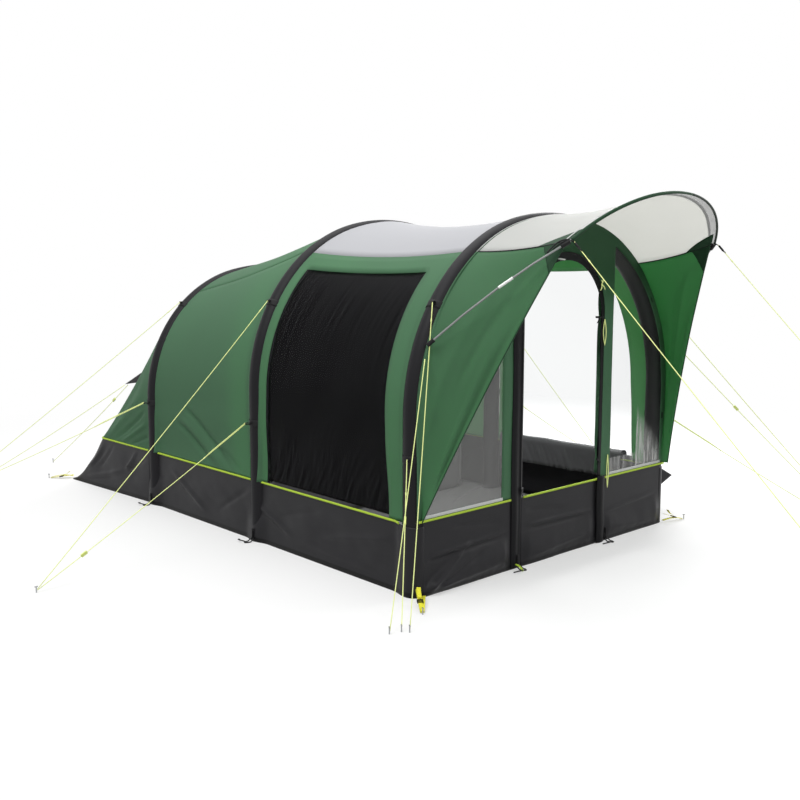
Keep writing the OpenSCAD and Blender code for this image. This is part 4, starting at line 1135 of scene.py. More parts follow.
def mudSide(y, h):
    z = (body["mudH"] - body["seamGap"]) * h
    out = body["wallFlare"] + (body["mudFlare"] - body["wallFlare"]) * (1 - h) ** 2
    x = sideHalf(y) - body["beamR"] + out
    grown = smooth(mud["bulgeTop"], mud["bulgeLow"], z)
    for beam in (body["frontY"], body["midY"], body["rearY"]):
        off = abs(y - beam) / mud["half"]
        if off < 1:
            full = 1.0 if beam == body["frontY"] else grown
            x += full * (mud["round"] - out) * cos(off * pi / 2) ** 2
    return x, z


def leftMudAt(s, h):
    if s < 0:  # round the front beam's foot to the front wall
        x, z = mudSide(body["frontY"], h)
        r = mud["frontR"]
        a = pi + pi / 2 * -s * mud["frontTurn"]
        centre = body["beamR"] - wide["half"]
        start = -x - (centre - r)
        return Vector((centre + r * cos(a) + start * (1 + s), body["frontY"] + r * sin(a), z))
    y = mix(body["frontY"], body["rearY"] + body["edge"] + mud["behind"], s)
    x, z = mudSide(y, h)
    p = Vector((-x, y, z))
    wave = mudRipple(p, "side") + foldsAt(y, z, sideFolds)
    p.x -= wave * hump(h) * smooth(0, 0.02, s) * smooth(1, 0.97, s)
    return p


def rightMudAt(s, h):
    return flipX(leftMudAt(s, h))


def rearMudAt(w, h):
    q = rearPlan(max(0.0, min(6.0, w)), h ** rear["hollow"])  # drawn in between hem and piping
    if w < 0 or w > 6:
        q.y += min(w, 6 - w) * mud["tuckY"]
    p = Vector((q.x, q.y, (body["mudH"] - body["seamGap"]) * h))
    side = Vector((0, 1.0, 0))
    if min(w, 6 - w) < rear["corner"]:
        side = Vector((-1.0 if w < 3 else 1.0, 0.5, 0))
    wave = mudRipple(p, "rear") + foldsAt(min(w, 6 - w), h, rearCreases)
    return p + side * wave * hump(h)


front = {"y": faceY - 0.003, "half": 1.168, "doorLeft": -0.34, "doorRight": 0.452, "doorTop": 1.89,
         "corner": 0.385, "low": 0.4325, "mudTop": 0.4275, "sill": 0.455, "paneLeft": -0.519,
         "paneRight": 0.556, "pane": 0.083, "edge": 0.02, "post": 0.063, "paneIn": 0.0632, "seam": 0.004,
         "lap": 0.002, "slack": 0.003, "t": 0.002, "archGap": 0.002, "doorGap": 0.01, "upTo": 0.8,
         "flat": (2.43, 1.69)}


def frontMudAt(x, h):
    p = Vector((x, front["y"], front["mudTop"] * h))
    wave = mudRipple(p, "front")
    k = min(1.0, p.z / creaseAt(x))  # below a slanting crease the cloth leans out to the ground
    wave -= mud["lean"][0 if x < front["doorLeft"] else 1] * 4 * k * (1 - k)
    wave -= mud["hem"] * abs(ripple(p, (14, 0, 30), 9.0)) * smooth(0.09, 0.02, p.z)
    wave *= hump(min(1.0, h * 1.6 + 0.12) ** 0.8)
    wave += foldsAt(x, p.z, frontFolds) * smooth(0, 0.1, h) * smooth(1, 0.9, h)
    strap = mix(mud["underStrap"], 1.0, smooth(0.04, 0.12, abs(x - mud["strapX"])))
    wave *= smooth(0.04, 0.13, abs(x - mud["flapX"])) * strap  # flat under flap and strap
    p.y += wave * smooth(1.17, 1.09, abs(x)) - mud["foot"] * (1 - h) ** 2
    return p


sideRows = steps(-1, 0, 10) + steps(0, 1, 150)[1:]
rearRows = [-mud["tuck"]] + steps(0, 6, 180) + [6 + mud["tuck"]]
for side, rows, at in (("left", sideRows, leftMudAt), ("right", sideRows, rightMudAt),
                       ("rear", rearRows, rearMudAt)):
    cloth(side + "MudWall", rows, mud["rows"], at, mud["t"], "mudBlack", side + "_mud_wall", "hung")
halves = [sheetOf("frontMudLeft", steps(-front["half"], front["doorLeft"] - front["seam"], 90), mud["rows"],
                  frontMudAt),
          sheetOf("frontMudRight", steps(front["doorRight"] + front["seam"], front["half"], 80), mud["rows"],
                  frontMudAt)]
sewn("frontMudWall", halves, mud["t"], "mudBlack", "front_mud_wall", "hung")
doorway = steps(front["doorLeft"] - front["lap"], front["doorRight"] + front["lap"], 70)
cloth("doorThreshold", doorway, mud["rows"], frontMudAt, mud["t"], "mudBlack", "door_threshold", "hung")
print("mud walls")

# Piping on the mud walls' top edges
piping = {"r": 0.0055, "off": 0.006, "around": 10, "squash": (0.75, 1.25), "start": 0.075, "end": 0.06,
          "near": 0.02, "frontOff": 0.0065, "front": ((-1.2, -0.44), (-0.324, 1.2))}


def pipeOf(line):
    return tubeOf("pipe", line, piping["r"], piping["around"], piping["squash"])


pipeYs = steps(body["frontY"] + piping["start"], body["rearY"] + piping["end"], 60)
pipes = [pipeOf([(side * (mudSide(y, 1.0)[0] + piping["off"]), y, body["mudH"]) for y in pipeYs])
         for side in (-1, 1)]
rearLine = []
for w in steps(0, 6, 180):
    q, a, b = (rearPlan(max(0, min(6, w + k * piping["near"])), 1.0) for k in (0, -1, 1))
    n = Vector((-(b - a).y, (b - a).x)).normalized()
    n = -n if n.dot(q - Vector((0, 1.0))) < 0 else n
    q = q + n * piping["off"]
    rearLine.append((q.x, q.y, body["mudH"]))
pipes.append(pipeOf(rearLine))
for x0, x1 in piping["front"]:
    pipes.append(pipeOf([(x, front["y"] - piping["frontOff"], body["frontMudH"]) for x in steps(x0, x1, 40)]))
dress(joined("pipingLine", pipes), "limePiping", "piping")

# Front wall: columns from the piping to the arch, open at the doorway and the two windows
archZ = {}


def archTop(x, inset):
    key = (round(abs(x), 6), inset)
    if key not in archZ:
        lowU, highU = 1.0, 3.0
        for _ in range(40):
            mid = (lowU + highU) / 2
            if -archAt(wide, mid, inset).x > abs(x):
                lowU = mid
            else:
                highU = mid
        archZ[key] = archAt(wide, lowU, inset).y
    return archZ[key]


def doorTopAt(x):
    a, b, corner = front["doorLeft"], front["doorRight"], front["corner"]
    off = max(0.0, abs(x - (a + b) / 2) - ((b - a) / 2 - corner))
    return front["doorTop"] - corner + sqrt(max(0.0, corner ** 2 - off * off))


half = wide["half"] - front["edge"]
post = half - front["post"]
xs = [mix(front["doorLeft"], front["doorRight"], 0.5 - 0.5 * cos(pi * k / 40)) for k in range(41)]
for start, end, count in ((-half, -post, 4), (-post, front["paneLeft"], 22),
                          (front["paneLeft"], front["doorLeft"], 8),
                          (front["doorRight"], front["paneRight"], 8), (front["paneRight"], post, 22),
                          (post, half, 4)):
    xs += steps(start, end, count)
xs = sorted(set(xs))
xs = [x for i, x in enumerate(xs) if i == 0 or x - xs[i - 1] > 1e-5]
rs = steps(0, 1, 1) + steps(1, 2, 24)[1:] + steps(2, 3, 6)[1:] + steps(3, 4, 4)[1:]


def frontAt(x, r):
    outer = archTop(x, front["edge"])
    inner = archTop(x, front["pane"]) if abs(x) < post else min(outer - front["archGap"], wide["leg"])
    doorZ = mix(front["sill"], inner, front["upTo"])
    if front["doorLeft"] <= x <= front["doorRight"]:
        doorZ = min(doorTopAt(x), inner - front["doorGap"])
    marks = (front["low"], front["sill"], doorZ, inner, outer)
    i = min(3, int(r))
    z = mix(marks[i], marks[i + 1], r - i)
    p = Vector((x, front["y"], z))
    slack = front["slack"] * ripple(p, (3, 0, 2.2), 7.0)
    p.y += slack * smooth(half, half - 0.1, abs(x)) * smooth(0.43, 0.6, z)
    return p


def frontKeep(i, j):
    x = (xs[i] + xs[i + 1]) / 2
    r = (rs[j] + rs[j + 1]) / 2
    if front["doorLeft"] < x < front["doorRight"]:
        return r > 2
    if -post < x < front["paneLeft"] or front["paneRight"] < x < post:
        return r < 1 or r > 3
    return True


cloth("frontWall", xs, rs, frontAt, front["t"], "greenFront", "front_wall_panel", keep=frontKeep,
      flat=front["flat"])
sill = {"off": 0.0025, "z": 0.4475, "wide": 0.019, "t": 0.001, "in": 0.05, "over": 0.01, "ripple": 0.002,
        "fold": 0.003}


def paneAt(x, r):
    z = mix(front["sill"], archTop(x, front["pane"]), r)
    slack = smooth(0.45, 0.0, r) * smooth(1.1, 1.0, abs(x))  # the film sags in folds towards its sill
    fold = sin(abs(x) * 95 + 6 * noiseAt(x * 3, z * 2, 0)) * (0.5 + noiseAt(x * 5, 1, z))
    soft = sill["ripple"] * ripple(Vector((x, 0, z)), (5, 0, 4), 2.0)
    return Vector((x, front["y"] + soft + sill["fold"] * fold * slack, z))


tapes = []
for side, x0, x1 in (("Left", -half + sill["in"], front["paneLeft"] + sill["over"]),
                     ("Right", front["paneRight"] - sill["over"], half - sill["in"])):
    line = [(x, front["y"] - sill["off"], sill["z"]) for x in steps(x0, x1, 20)]
    tapes.append(ribbonOf("sillTape" + side, line, sill["wide"], (0, 0, 1), sill["t"]))
sewn("sillTapes", tapes, None, "tapeWhite")
paneRuns = (("paneLeft", -half + front["paneIn"], front["paneLeft"]),
            ("paneRight", front["paneRight"], half - front["paneIn"]))
panes = [sheetOf(name, steps(x0, x1, 40), steps(0, 1, 36), paneAt) for name, x0, x1 in paneRuns]
sewn("frontWindowFilms", panes, window["filmT"], "frontFilm", "front_window_films")
print("front wall")

# Door rolled up inside the wall, beside the doorway, drawn in at its ties; its zip edge stays outermost
roll = {"x": 0.54, "y": faceY + 0.0555, "core": 0.01, "r": 0.0445, "low": 0.447, "high": 1.8, "turns": 3.2,
        "start": 2.24, "t": 0.0016, "ties": (0.56, 1.48, 1.69), "tieWide": 0.05, "pinch": 0.16,
        "uneven": 0.05, "zip": 3.7, "zipR": 0.0462, "zipZ": (0.45, 1.795), "zipWide": 0.032, "zipT": 0.002}


def rollSpot(r, a, z):
    return Vector((roll["x"] + r * cos(a), roll["y"] + r * sin(a), z))


def rollAt(k, h):
    z = mix(roll["low"], roll["high"], h)
    pinch = sum(exp(-((z - t) / roll["tieWide"]) ** 2) for t in roll["ties"])
    a = k * roll["turns"] * 2 * pi + roll["start"]
    uneven = 1 + roll["uneven"] * ripple(Vector((a * 0.3, k, z)), (1, 1, 5), 1.0)
    return rollSpot(mix(roll["core"], roll["r"], k) * (1 - roll["pinch"] * min(1.0, pinch)) * uneven, a, z)


def zipSpot(z):
    a = roll["zip"] + 0.1 * sin(z * 8) + 0.12 * noiseAt(z * 9, 2, 0)
    return rollSpot(roll["zipR"] + 0.003 * noiseAt(z * 14, 5, 0), a, z)


cloth("doorRoll", steps(0, 1, 110), steps(0, 1, 46), rollAt, roll["t"], "greenFront", "door_roll", "folded")
zipSide = (sin(roll["zip"]), -cos(roll["zip"]), 0)
zipEdge = ribbonOf("doorRollZip", [zipSpot(z) for z in steps(*roll["zipZ"], 70)], roll["zipWide"], zipSide,
                   roll["zipT"])
sewn("doorRollZip", [zipEdge], None, "hoodBlack", held="folded")

# Black facing round the doorway's arch and down its right edge
facing = {"arch": 0.05, "post": 0.034, "y": front["y"] - 0.004, "over": 0.42, "thin": 0.06, "t": 0.0016,
          "foot": 0.44, "gap": 0.05, "wavy": (0.006, 0.003)}
spring = front["doorTop"] - front["corner"]
turnPoints = [(front["doorLeft"] + front["corner"], a) for a in steps(180, 90, 24)]
turnPoints += [(front["doorRight"] - front["corner"], a) for a in steps(90, 0, 24)]
edgeLine, edgeSide = [], []
for x, a in turnPoints:
    way = Vector((cos(radians(a)), 0, sin(radians(a))))
    full = mix(facing["post"], facing["arch"], smooth(0, 40, a))
    across = full * mix(facing["thin"], 1.0, smooth(176, 125, a))
    edgeLine.append(Vector((x, facing["y"], spring)) + way * (front["corner"] - across * facing["over"]))
    edgeSide.append(way * across)
for z in steps(spring - facing["gap"], facing["foot"], 60):
    wavy = facing["wavy"][0] * noiseAt(z * 7, 1, 4) + facing["wavy"][1] * sin(z * 13)
    edgeLine.append(Vector((front["doorRight"] - facing["post"] * facing["over"] + wavy / 2, facing["y"], z)))
    edgeSide.append(Vector((facing["post"] - wavy, 0, 0)))
edging = ribbonOf("doorFacing", edgeLine, 1.0, lambda i: edgeSide[i], facing["t"])
sewn("doorFacing", [edging], None, "hoodBlack", slot="webbing_black")

# Ties: rings round the roll, two hanging loops and a bow with four short ends
tie = {"r": 0.003, "loopR": 0.0028, "sides": 8, "ring": 0.0475, "wave": 0.004, "off": 0.011, "out": 0.004,
       "loops": ((0.45, 1.47, 1.305, 0.026), (0.522, 0.578, 0.36, 0.016)), "lean": -0.03, "fuller": 1.3,
       "bow": (0.404, faceY - 0.013, 1.695), "endY": faceY - 0.02, "arch": 0.006,
       "ends": ((0.383, 1.655), (0.432, 1.66), (0.408, 1.728), (0.392, 1.72))}
ties = []
for z in roll["ties"][1:]:
    ring = [rollSpot(tie["ring"], a, z + tie["wave"] * sin(2 * a)) for a in turns(28)]
    ties.append(tubeOf("tie", ring, tie["r"], tie["sides"], closed=True))
for x, top, foot, gape in tie["loops"]:
    line = []
    for k in steps(0, 1, 28):
        swing = gape * 0.5 * sin(2 * pi * k) * (1 if k < 0.5 else tie["fuller"])
        line.append((x + 0.5 * (foot - top) * tie["lean"] + swing,
                     faceY - tie["off"] - tie["out"] * hump(k),
                     mix(top, foot, 1 - abs(2 * k - 1))))
    ties.append(tubeOf("tie", line, tie["loopR"], tie["sides"]))
for x, z in tie["ends"]:
    start, end = Vector(tie["bow"]), Vector((x, tie["endY"], z))
    line = [mix(start, end, k) - Vector((0, tie["arch"] * hump(k), 0)) for k in steps(0, 1, 6)]
    ties.append(tubeOf("tie", line, tie["r"], tie["sides"]))
dress(joined("doorTies", ties), "guyLime", "door_ties")

toggle = {"off": 0.012, "out": 0.004, "wide": 0.013, "t": 0.004}
toggles = []
for i, (x0, z0, x1, z1, side) in enumerate(((0.352, 1.488, 0.438, 1.482, (0, 0, 1)),
                                            (0.388, 1.482, 0.372, 1.45, (1, 0, 0.3)),
                                            (0.4, 0.565, 0.45, 0.54, (0, 0, 1)))):
    line = [(mix(x0, x1, k), faceY - toggle["off"] - toggle["out"] * hump(k), mix(z0, z1, k))
            for k in steps(0, 1, 6)]
    toggles.append(ribbonOf("toggle%d" % i, line, toggle["wide"], side, toggle["t"]))
sewn("doorToggles", toggles, None, "webbingBlack", held="hung")

flap = {"x0": -0.436, "x1": -0.35, "low": 0.006, "high": 1.69, "y": faceY - 0.01, "crown": 0.008,
        "wavy": 0.002, "edge": -0.4, "sway": 0.003, "t": 0.002}
strap = {"x": (0.405, 0.487), "z": (0.004, 0.452), "wide": 0.082, "y": faceY - 0.02, "crown": 0.012,
         "wavy": 0.003, "sway": 0.004, "t": 0.002}


def flapAt(x, z):
    k = smooth(flap["x0"], flap["x0"] + 0.03, x) * smooth(flap["x1"] - 0.02, flap["x1"] - 0.05, x)
    wavy = flap["wavy"] * ripple(Vector((x, 0, z)), (10, 0, 5), 3.0)
    sway = flap["sway"] * sin(z * 7.0) if x < flap["edge"] else 0.0
    return Vector((x + sway, flap["y"] - flap["crown"] * k - wavy, z))


def strapAt(x, z):
    crown = strap["crown"] * hump((x - strap["x"][0]) / strap["wide"])
    wavy = strap["wavy"] * ripple(Vector((x, 0, z)), (18, 0, 9), 4.0)
    return Vector((x + strap["sway"] * sin(z * 15), strap["y"] - crown - wavy, z))


cloth("doorZipFlap", steps(flap["x0"], flap["x1"], 14), steps(flap["low"], flap["high"], 80), flapAt,
      flap["t"], "hoodBlack", "door_zip_flap", "hung")
cloth("doorPostStrap", steps(*strap["x"], 12), steps(*strap["z"], 30), strapAt, strap["t"], "hoodBlack",
      held="hung", slot="webbing_black")
print("door")

# Porch: canopy roof, brow, two wings
brow = {"tape": 0.951, "band": 0.965, "tapeLap": 0.006, "bandLap": 0.004, "tapeT": 0.004, "bandT": 0.0012,
        "reach": 0.003, "sleeve": 0.0095, "edge": 0.0068, "turn": 0.12, "end": 0.995, "sides": 14}
canopy = {"t": 0.0014, "seamY": faceY - 0.002, "back": 0.018}


def hoopAt(s, back=0.0):
    a = radians(porch["hoop"])
    k = (cos(s * a) - cos(a)) / (1 - cos(a))
    return Vector((porch["tipX"] * sin(s * a) / sin(a),
                   mix(porch["tipY"], porch["browY"], k) + back, mix(porch["tipZ"], porch["browZ"], k)))


def canopyAt(s, t):
    w = mix(body["seamW"], 6 - porch["seamRight"], (s + 1) / 2)
    if t < 0:
        return lapAt(wide, body["frontY"], -1, w, riseAt(w), lap["turn"], -t)
    p = archAt(wide, w) + outAt(w) * riseAt(w)
    a = Vector((p.x, canopy["seamY"], p.y))
    sag = mix(porch["sag"], porch["midSag"], 1 - s * s) * 4 * t * (1 - t)
    return mix(a, hoopAt(s, canopy["back"]), t) - Vector((0, 0, sag))


def browAt(s, t):  # the outermost strip reaches forward round the pole
    return canopyAt(s, t) + (hoopAt(s, brow["reach"]) - canopyAt(s, 1.0)) * smooth(brow["band"], 1, t)


hoopRows = steps(-1, 1, 70)
cloth("canopyRoof", hoopRows, lapRows + steps(0, brow["tape"], 40), canopyAt, canopy["t"], "visorCloth",
      "canopy_roof")
cloth("browTape", hoopRows, steps(brow["tape"] - brow["tapeLap"], brow["band"], 4), canopyAt, brow["tapeT"],
      "browTape")
cloth("browBand", hoopRows, steps(brow["band"] - brow["bandLap"], 1, 8), browAt, brow["bandT"], "browMesh")
sleeveLine = [hoopAt(s) for s in steps(-brow["end"], brow["turn"], 44)]
made = tubeOf("browSleeve", sleeveLine, lambda k: mix(brow["sleeve"], brow["edge"], smooth(0.55, 1, k)),
              brow["sides"])
dress(made, "patchGreen", "brow_sleeve")
edgeLine = [hoopAt(s) for s in steps(brow["turn"], brow["end"], 36)]
dress(tubeOf("browEdge", edgeLine, brow["edge"], brow["sides"]), "browHem", "brow_sleeve")

wing = {"foot": Vector((-1.206, faceY - 0.04, 0.442)), "footU": 0.444 / wide["leg"], "mudU": 0.409,
        "aboveMud": 0.591, "pull": 0.026, "sag": porch["sag"], "belly": 0.022, "sewn": 0.86, "under": 0.006,
        "hem": 0.985,
        "folds": [((0.1, 0.86), (0.78, 0.93), 0.05, 0.014), ((0.12, 0.7), (0.7, 0.8), 0.04, -0.006),
                  ((0.35, 0.15), (0.96, 0.55), 0.07, -0.008), ((0.5, 0.5), (0.97, 0.8), 0.05, 0.01)]}


def wingAt(a, b, seam=body["seamW"]):
    u = mix(wing["footU"], seam, a)
    w = u if u > 1 else max(0.0, (u - wing["mudU"]) / wing["aboveMud"])
    if b < 0:
        return lapAt(wide, body["frontY"], -1, u, riseAt(w), lap["turn"], -b)
    p = archAt(wide, u) + outAt(u) * riseAt(w)
    inner = Vector((p.x, canopy["seamY"], p.y))
    outer = mix(wing["foot"], Vector((-porch["tipX"], porch["tipY"] + canopy["back"], porch["tipZ"])), a)
    outer += Vector((0, 1, 0)) * wing["pull"] * 4 * a * (1 - a)
    near = smooth(1.0, wing["sewn"], a)  # the top edge is sewn to the canopy
    q = mix(inner, outer, b) - Vector((0, 0, wing["under"] * near + wing["sag"] * 4 * b * (1 - b) * a * a))
    pull = foldsAt(a, b, wing["folds"])
    return q + Vector((0.8, 0.5, 0)) * (wing["belly"] * 4 * b * (1 - b) * a * near + pull * near)


def rightWingAt(a, b):
    return flipX(wingAt(a, b, porch["seamRight"]))


wings = (("left", wingAt, -1), ("right", rightWingAt, 1))
for side, at, _ in wings:
    cloth(side + "Wing", steps(0, 1, 60), lapRows + steps(0, wing["hem"], 30), at, canopy["t"], "greenWing",
          side + "_wing")

# Corner patches, edge bindings and the fittings at the canopy's tips
patch = {"t": 0.0048, "under": Vector((0, 0, 0.0012)), "start": 0.03, "low": 0.11, "lowFrom": 0.74,
         "high": 0.13, "highRun": (0.66, 0.995), "binding": 0.0042, "hem": 0.0032, "hemEnd": 0.995,
         "sides": 8}
bindings, hems = [], []
for side, at, edge in wings:
    def lowAt(m, n):
        return at(1 - patch["low"] * m * n, mix(patch["lowFrom"], wing["hem"], m))

    def highAt(m, n):
        return canopyAt(edge * (1 - patch["high"] * m * n), mix(*patch["highRun"], m)) - patch["under"]

    patches = [sheetOf(side + "PatchLow", steps(patch["start"], 1, 12), steps(0, 1, 10), lowAt),
               sheetOf(side + "PatchHigh", steps(patch["start"], 1, 14), steps(0, 1, 8), highAt)]
    sewn(side + "TipPatch", patches, patch["t"], "patchGreen")
    bindings.append(tubeOf("binding", [canopyAt(edge, t) for t in steps(0, 1, 30)], patch["binding"],
                           patch["sides"]))
    hemLine = [at(a, wing["hem"]) for a in steps(0, patch["hemEnd"], 60)]
    hems.append(tubeOf("hem", hemLine, patch["hem"], patch["sides"]))
dress(joined("canopyBindings", bindings), "webbingBlack")
dress(joined("wingHems", hems), "patchGreen")

tip = {"ring": 0.012, "wire": 0.003, "cap": 0.0125, "capRun": (0.93, 0.992), "capBevel": 0.003,
       "hook": 0.0062, "hookBevel": 0.002, "reach": (0.008, 0.052), "beyond": 0.004, "near": 0.02,
       "place": (-0.7095, porch["tipY"] - 0.012, 1.94), "turns": ((0.5, 0, 0.4), (0.5, 0.4, 0)),
       "loop": 0.0042, "loopEnd": 0.985, "loops": ((0.83, 0.022), (0.87, 0.008)),
       "loopOff": (-0.004, 0.012)}


def poleAt(t):
    foot, end = Vector(porch["pocket"]), Vector((-porch["tipX"], porch["tipY"], porch["tipZ"]))
    return mix(foot, end, t) + Vector((0, 0, porch["bow"] * 4 * t * (1 - t)))


def addRing(place, turn, major, minor):
    bpy.ops.object.select_all(action="DESELECT")
    bpy.ops.mesh.primitive_torus_add(location=place, rotation=turn, major_radius=major, minor_radius=minor,
                                     major_segments=28, minor_segments=10)
    bpy.ops.object.transform_apply(location=True, rotation=True, scale=True)
    bpy.ops.object.shade_smooth()
    return bpy.context.active_object


def addPin(start, end, radius, bevel):
    bpy.ops.object.select_all(action="DESELECT")
    bpy.ops.mesh.primitive_cylinder_add(vertices=20, radius=radius, depth=(end - start).length,
                                        location=(start + end) / 2,
                                        rotation=(end - start).to_track_quat("Z", "Y").to_euler())
    bpy.ops.object.transform_apply(location=True, rotation=True, scale=True)
    made = bpy.context.active_object
    edges = made.modifiers.new("edges", "BEVEL")
    edges.width, edges.segments, edges.limit_method = bevel, 2, "ANGLE"
    bpy.ops.object.modifier_apply(modifier="edges")
    bpy.ops.object.shade_smooth_by_angle(angle=0.7)
    return made


for side, turned in (("left", Vector), ("right", flipX)):
    cap = addPin(*(turned(poleAt(t)) for t in tip["capRun"]), tip["cap"], tip["capBevel"])
    start = turned(tipEnd)
    way = (routes["guyCanopy" + side.title()](tip["near"]) - start).normalized()
    near, far = tip["reach"]
    hook = addPin(start + way * near, start + way * far, tip["hook"], tip["hookBevel"])
    places = (turned(tip["place"]), start + way * (far + tip["beyond"]))
    rings = [addRing(place, turn, tip["ring"], tip["wire"]) for place, turn in zip(places, tip["turns"])]
    dress(joined(side + "TipHook", [cap, hook] + rings), "bucklePlastic")
    loops = []
    for t, lift in tip["loops"]:
        forward, up = tip["loopOff"]
        a, b = poleAt(t), poleAt(tip["loopEnd"])
        line = [mix(a, b, k) + Vector((0, forward, up + lift * hump(k))) for k in steps(0, 1, 14)]
        loops.append(tubeOf("loop", [turned(p) for p in line], tip["loop"], 8))
    dress(joined(side + "TipLoops", loops), "elasticBlack")

hanging = {"place": (-0.026, facing["y"] - 0.016, 1.851), "turn": (0.15, 0, 0), "r": 0.018, "wire": 0.004,
           "drawn": 0.005}
ring = addRing(hanging["place"], hanging["turn"], hanging["r"], hanging["wire"])
ring.name = ring.data.name = "hangingRing"
bpy.ops.object.mode_set(mode="EDIT")
bpy.ops.mesh.select_all(action="DESELECT")
bpy.ops.object.mode_set(mode="OBJECT")
for vertex in ring.data.vertices:  # sewn on at its back, the ring is drawn out to a blunt point in front
    vertex.select = vertex.co.y < hanging["place"][1] - hanging["r"] / 2
bpy.ops.object.mode_set(mode="EDIT")
bpy.ops.transform.translate(value=(0, -hanging["drawn"], 0))
bpy.ops.object.mode_set(mode="OBJECT")
dress(ring, "ferruleWhite")
print("porch")


# Hoods, bedroom and groundsheet
def hoodRoot(w):
    z = archAt(low, w).y
    return (z - rearHood["z"] - rearHood["root"]) / (z - body["mudH"])


def rearHoodAt(w, k):
    t = hoodRoot(w)
    root = tailAt(w, t) + normalOf(tailAt, w, t) * rearHood["rootOff"]
    across = hump((w - rearHood["w"]) / (6 - 2 * rearHood["w"]))
    return mix(root, hoodAt(w, 1.0), k) + Vector((0, 0, rearHood["belly"] * hump(k) * across))


def hoodWebAt(k, m):  # the web that closes the hood's side, hollow along its free edge
    w = rearHood["w"]
    t = hoodRoot(w)
    foot = tailAt(w, t + rearHood["web"] * rearHood["webRun"] * k)
    foot += normalOf(tailAt, w, t) * rearHood["webOff"]
    free = m * (1 - rearHood["hollow"] * hump(k))
    return mix(rearHoodAt(w, k), mix(rearHoodAt(w, 0), foot, k), free)


webSteps = steps(rearHood["webStart"], 1, 12)
hoodParts = [sheetOf("hoodTop", steps(rearHood["w"], 6 - rearHood["w"], 60), steps(0, 1, 12), rearHoodAt),
             sheetOf("hoodWebLeft", webSteps, steps(0, 1, 8), hoodWebAt),
             sheetOf("hoodWebRight", webSteps, steps(0, 1, 8), lambda k, m: flipX(hoodWebAt(k, m)))]
sewn("rearHood", hoodParts, rearHood["t"], "hoodBlack", "rear_vent_hood")

sideHood = {"x": 1.21, "y": (-1.972, -1.672), "out": 0.35, "z": (0.435, 0.265, 0.15), "crown": 0.004,
            "lip": 0.985, "t": 0.002}


def sideHoodAt(s, k):
    y0, y1 = sideHood["y"]
    top, lip, foot = sideHood["z"]
    x, z = sideHood["x"] + sideHood["out"] * k, mix(top, lip, k)
    if 0 <= s <= 1:
        return Vector((x, mix(y0, y1, s), z + sideHood["crown"] * hump(s)))
    return Vector((x, y0 if s < 0 else y1, mix(z, mix(foot, lip, k), -s if s < 0 else s - 1)))


cloth("sideHood", steps(-1, 0, 6) + steps(0, 1, 16)[1:] + steps(1, 2, 6)[1:], steps(0, sideHood["lip"], 14),
      sideHoodAt, sideHood["t"], "hoodBlack", "side_vent_hood")

room = {"inset": 0.212, "front": -0.37, "back": 1.08, "pucker": 0.006, "low": 0.008, "behind": 0.006,
        "t": 0.001, "frontIn": 0.04, "frontOff": 0.0015}


def roomAt(u, y):
    t = (y - body["midY"]) / (body["rearY"] - body["midY"])
    p = mix(archAt(tall, u, room["inset"]), archAt(low, u, room["inset"]), min(t, 1.0))
    fall = 1 - (t - 1) if t > 1 else 1.0
    pucker = room["pucker"] * ripple(Vector((p.x, y, p.y)), (3, 5, 3), 2.0)
    q = Vector((p.x, p.y * fall)) + outAt(u) * (pucker if 0.3 < u < 5.7 else 0)
    return Vector((q.x, y, max(room["low"], q.y)))


def roomEndAt(u, k):
    return mix(roomAt(u, room["back"]), flipX(roomAt(u, room["back"])), k)


def roomFrontAt(u, k):
    p = archAt(tall, u, room["inset"] + room["frontIn"])
    x = mix(p.x, -p.x, k)
    pucker = room["pucker"] * ripple(Vector((x, 0, p.y)), (4, 0, 3), 3.0)
    return Vector((x, room["front"] - room["frontOff"] + pucker, max(room["low"], p.y)))


roomRows = steps(room["front"] + room["behind"], room["back"], 24)
shells = [sheetOf("shell", steps(0.01, 5.99, 90), roomRows, roomAt),
          sheetOf("shellEnd", steps(0.01, 2.999, 40), steps(0, 1, 20), roomEndAt)]
sewn("bedroomShell", shells, room["t"], "innerGrey", "bedroom_shell", "hung")
cloth("bedroomFront", steps(0.008, 2.999, 60), steps(0, 1, 60), roomFrontAt, room["t"], "innerGrey",
      "bedroom_front_wall", "hung")

ground = {"gap": 0.003, "z": 0.0012, "uneven": 0.0006, "t": 0.001, "ends": (0.004, 0.012), "behind": 0.08,
          "tail": (0.914, 1.164), "front": 1.16, "round": 0.03, "roundRun": 0.11}


def groundAt(s, y):
    if y < body["rearY"] + ground["behind"]:
        reach = mudSide(y, 0.0)[0]
    else:
        tailY, tailX = ground["tail"]
        reach = mix(tailX, -rear["cornerLow"].x, (y - tailY) / (body["backY"] - tailY))
        reach -= ground["round"] * smooth(body["backY"] - ground["roundRun"], body["backY"], y)
    reach = (reach if y > body["frontY"] else ground["front"]) - ground["gap"]
    uneven = ground["uneven"] * abs(ripple(Vector((s, y, 0)), (3, 3, 0), 1.0))
    return Vector((s * reach, y, ground["z"] + uneven))


cloth("groundCloth", steps(-1, 1, 40),
      steps(faceY + ground["ends"][0], body["backY"] - ground["ends"][1], 130), groundAt, ground["t"],
      "floorSheet", "groundsheet", "laid")

# The right blind, rolled up at the sill, with a loose end that hangs down in pleats
rollUp = {"z": 0.452, "w": 5.97, "run": (1.03, 1.97), "in": Vector((0.05, 0, 0)), "core": 0.01, "r": 0.039,
          "turns": 3.1, "start": 2.5, "droop": 0.006, "uneven": 0.08, "pleat": (0.014, 0.004), "back": 0.02,
          "hang": [1.01, 1.025, 1.05, 1.08, 1.11, 1.14, 1.17], "t": 0.0012}
rollStart, rollEnd = (paned(rollUp["w"], v) - rollUp["in"] for v in rollUp["run"])
rollLift = Vector((0, 0, rollUp["z"] - rollStart.z))


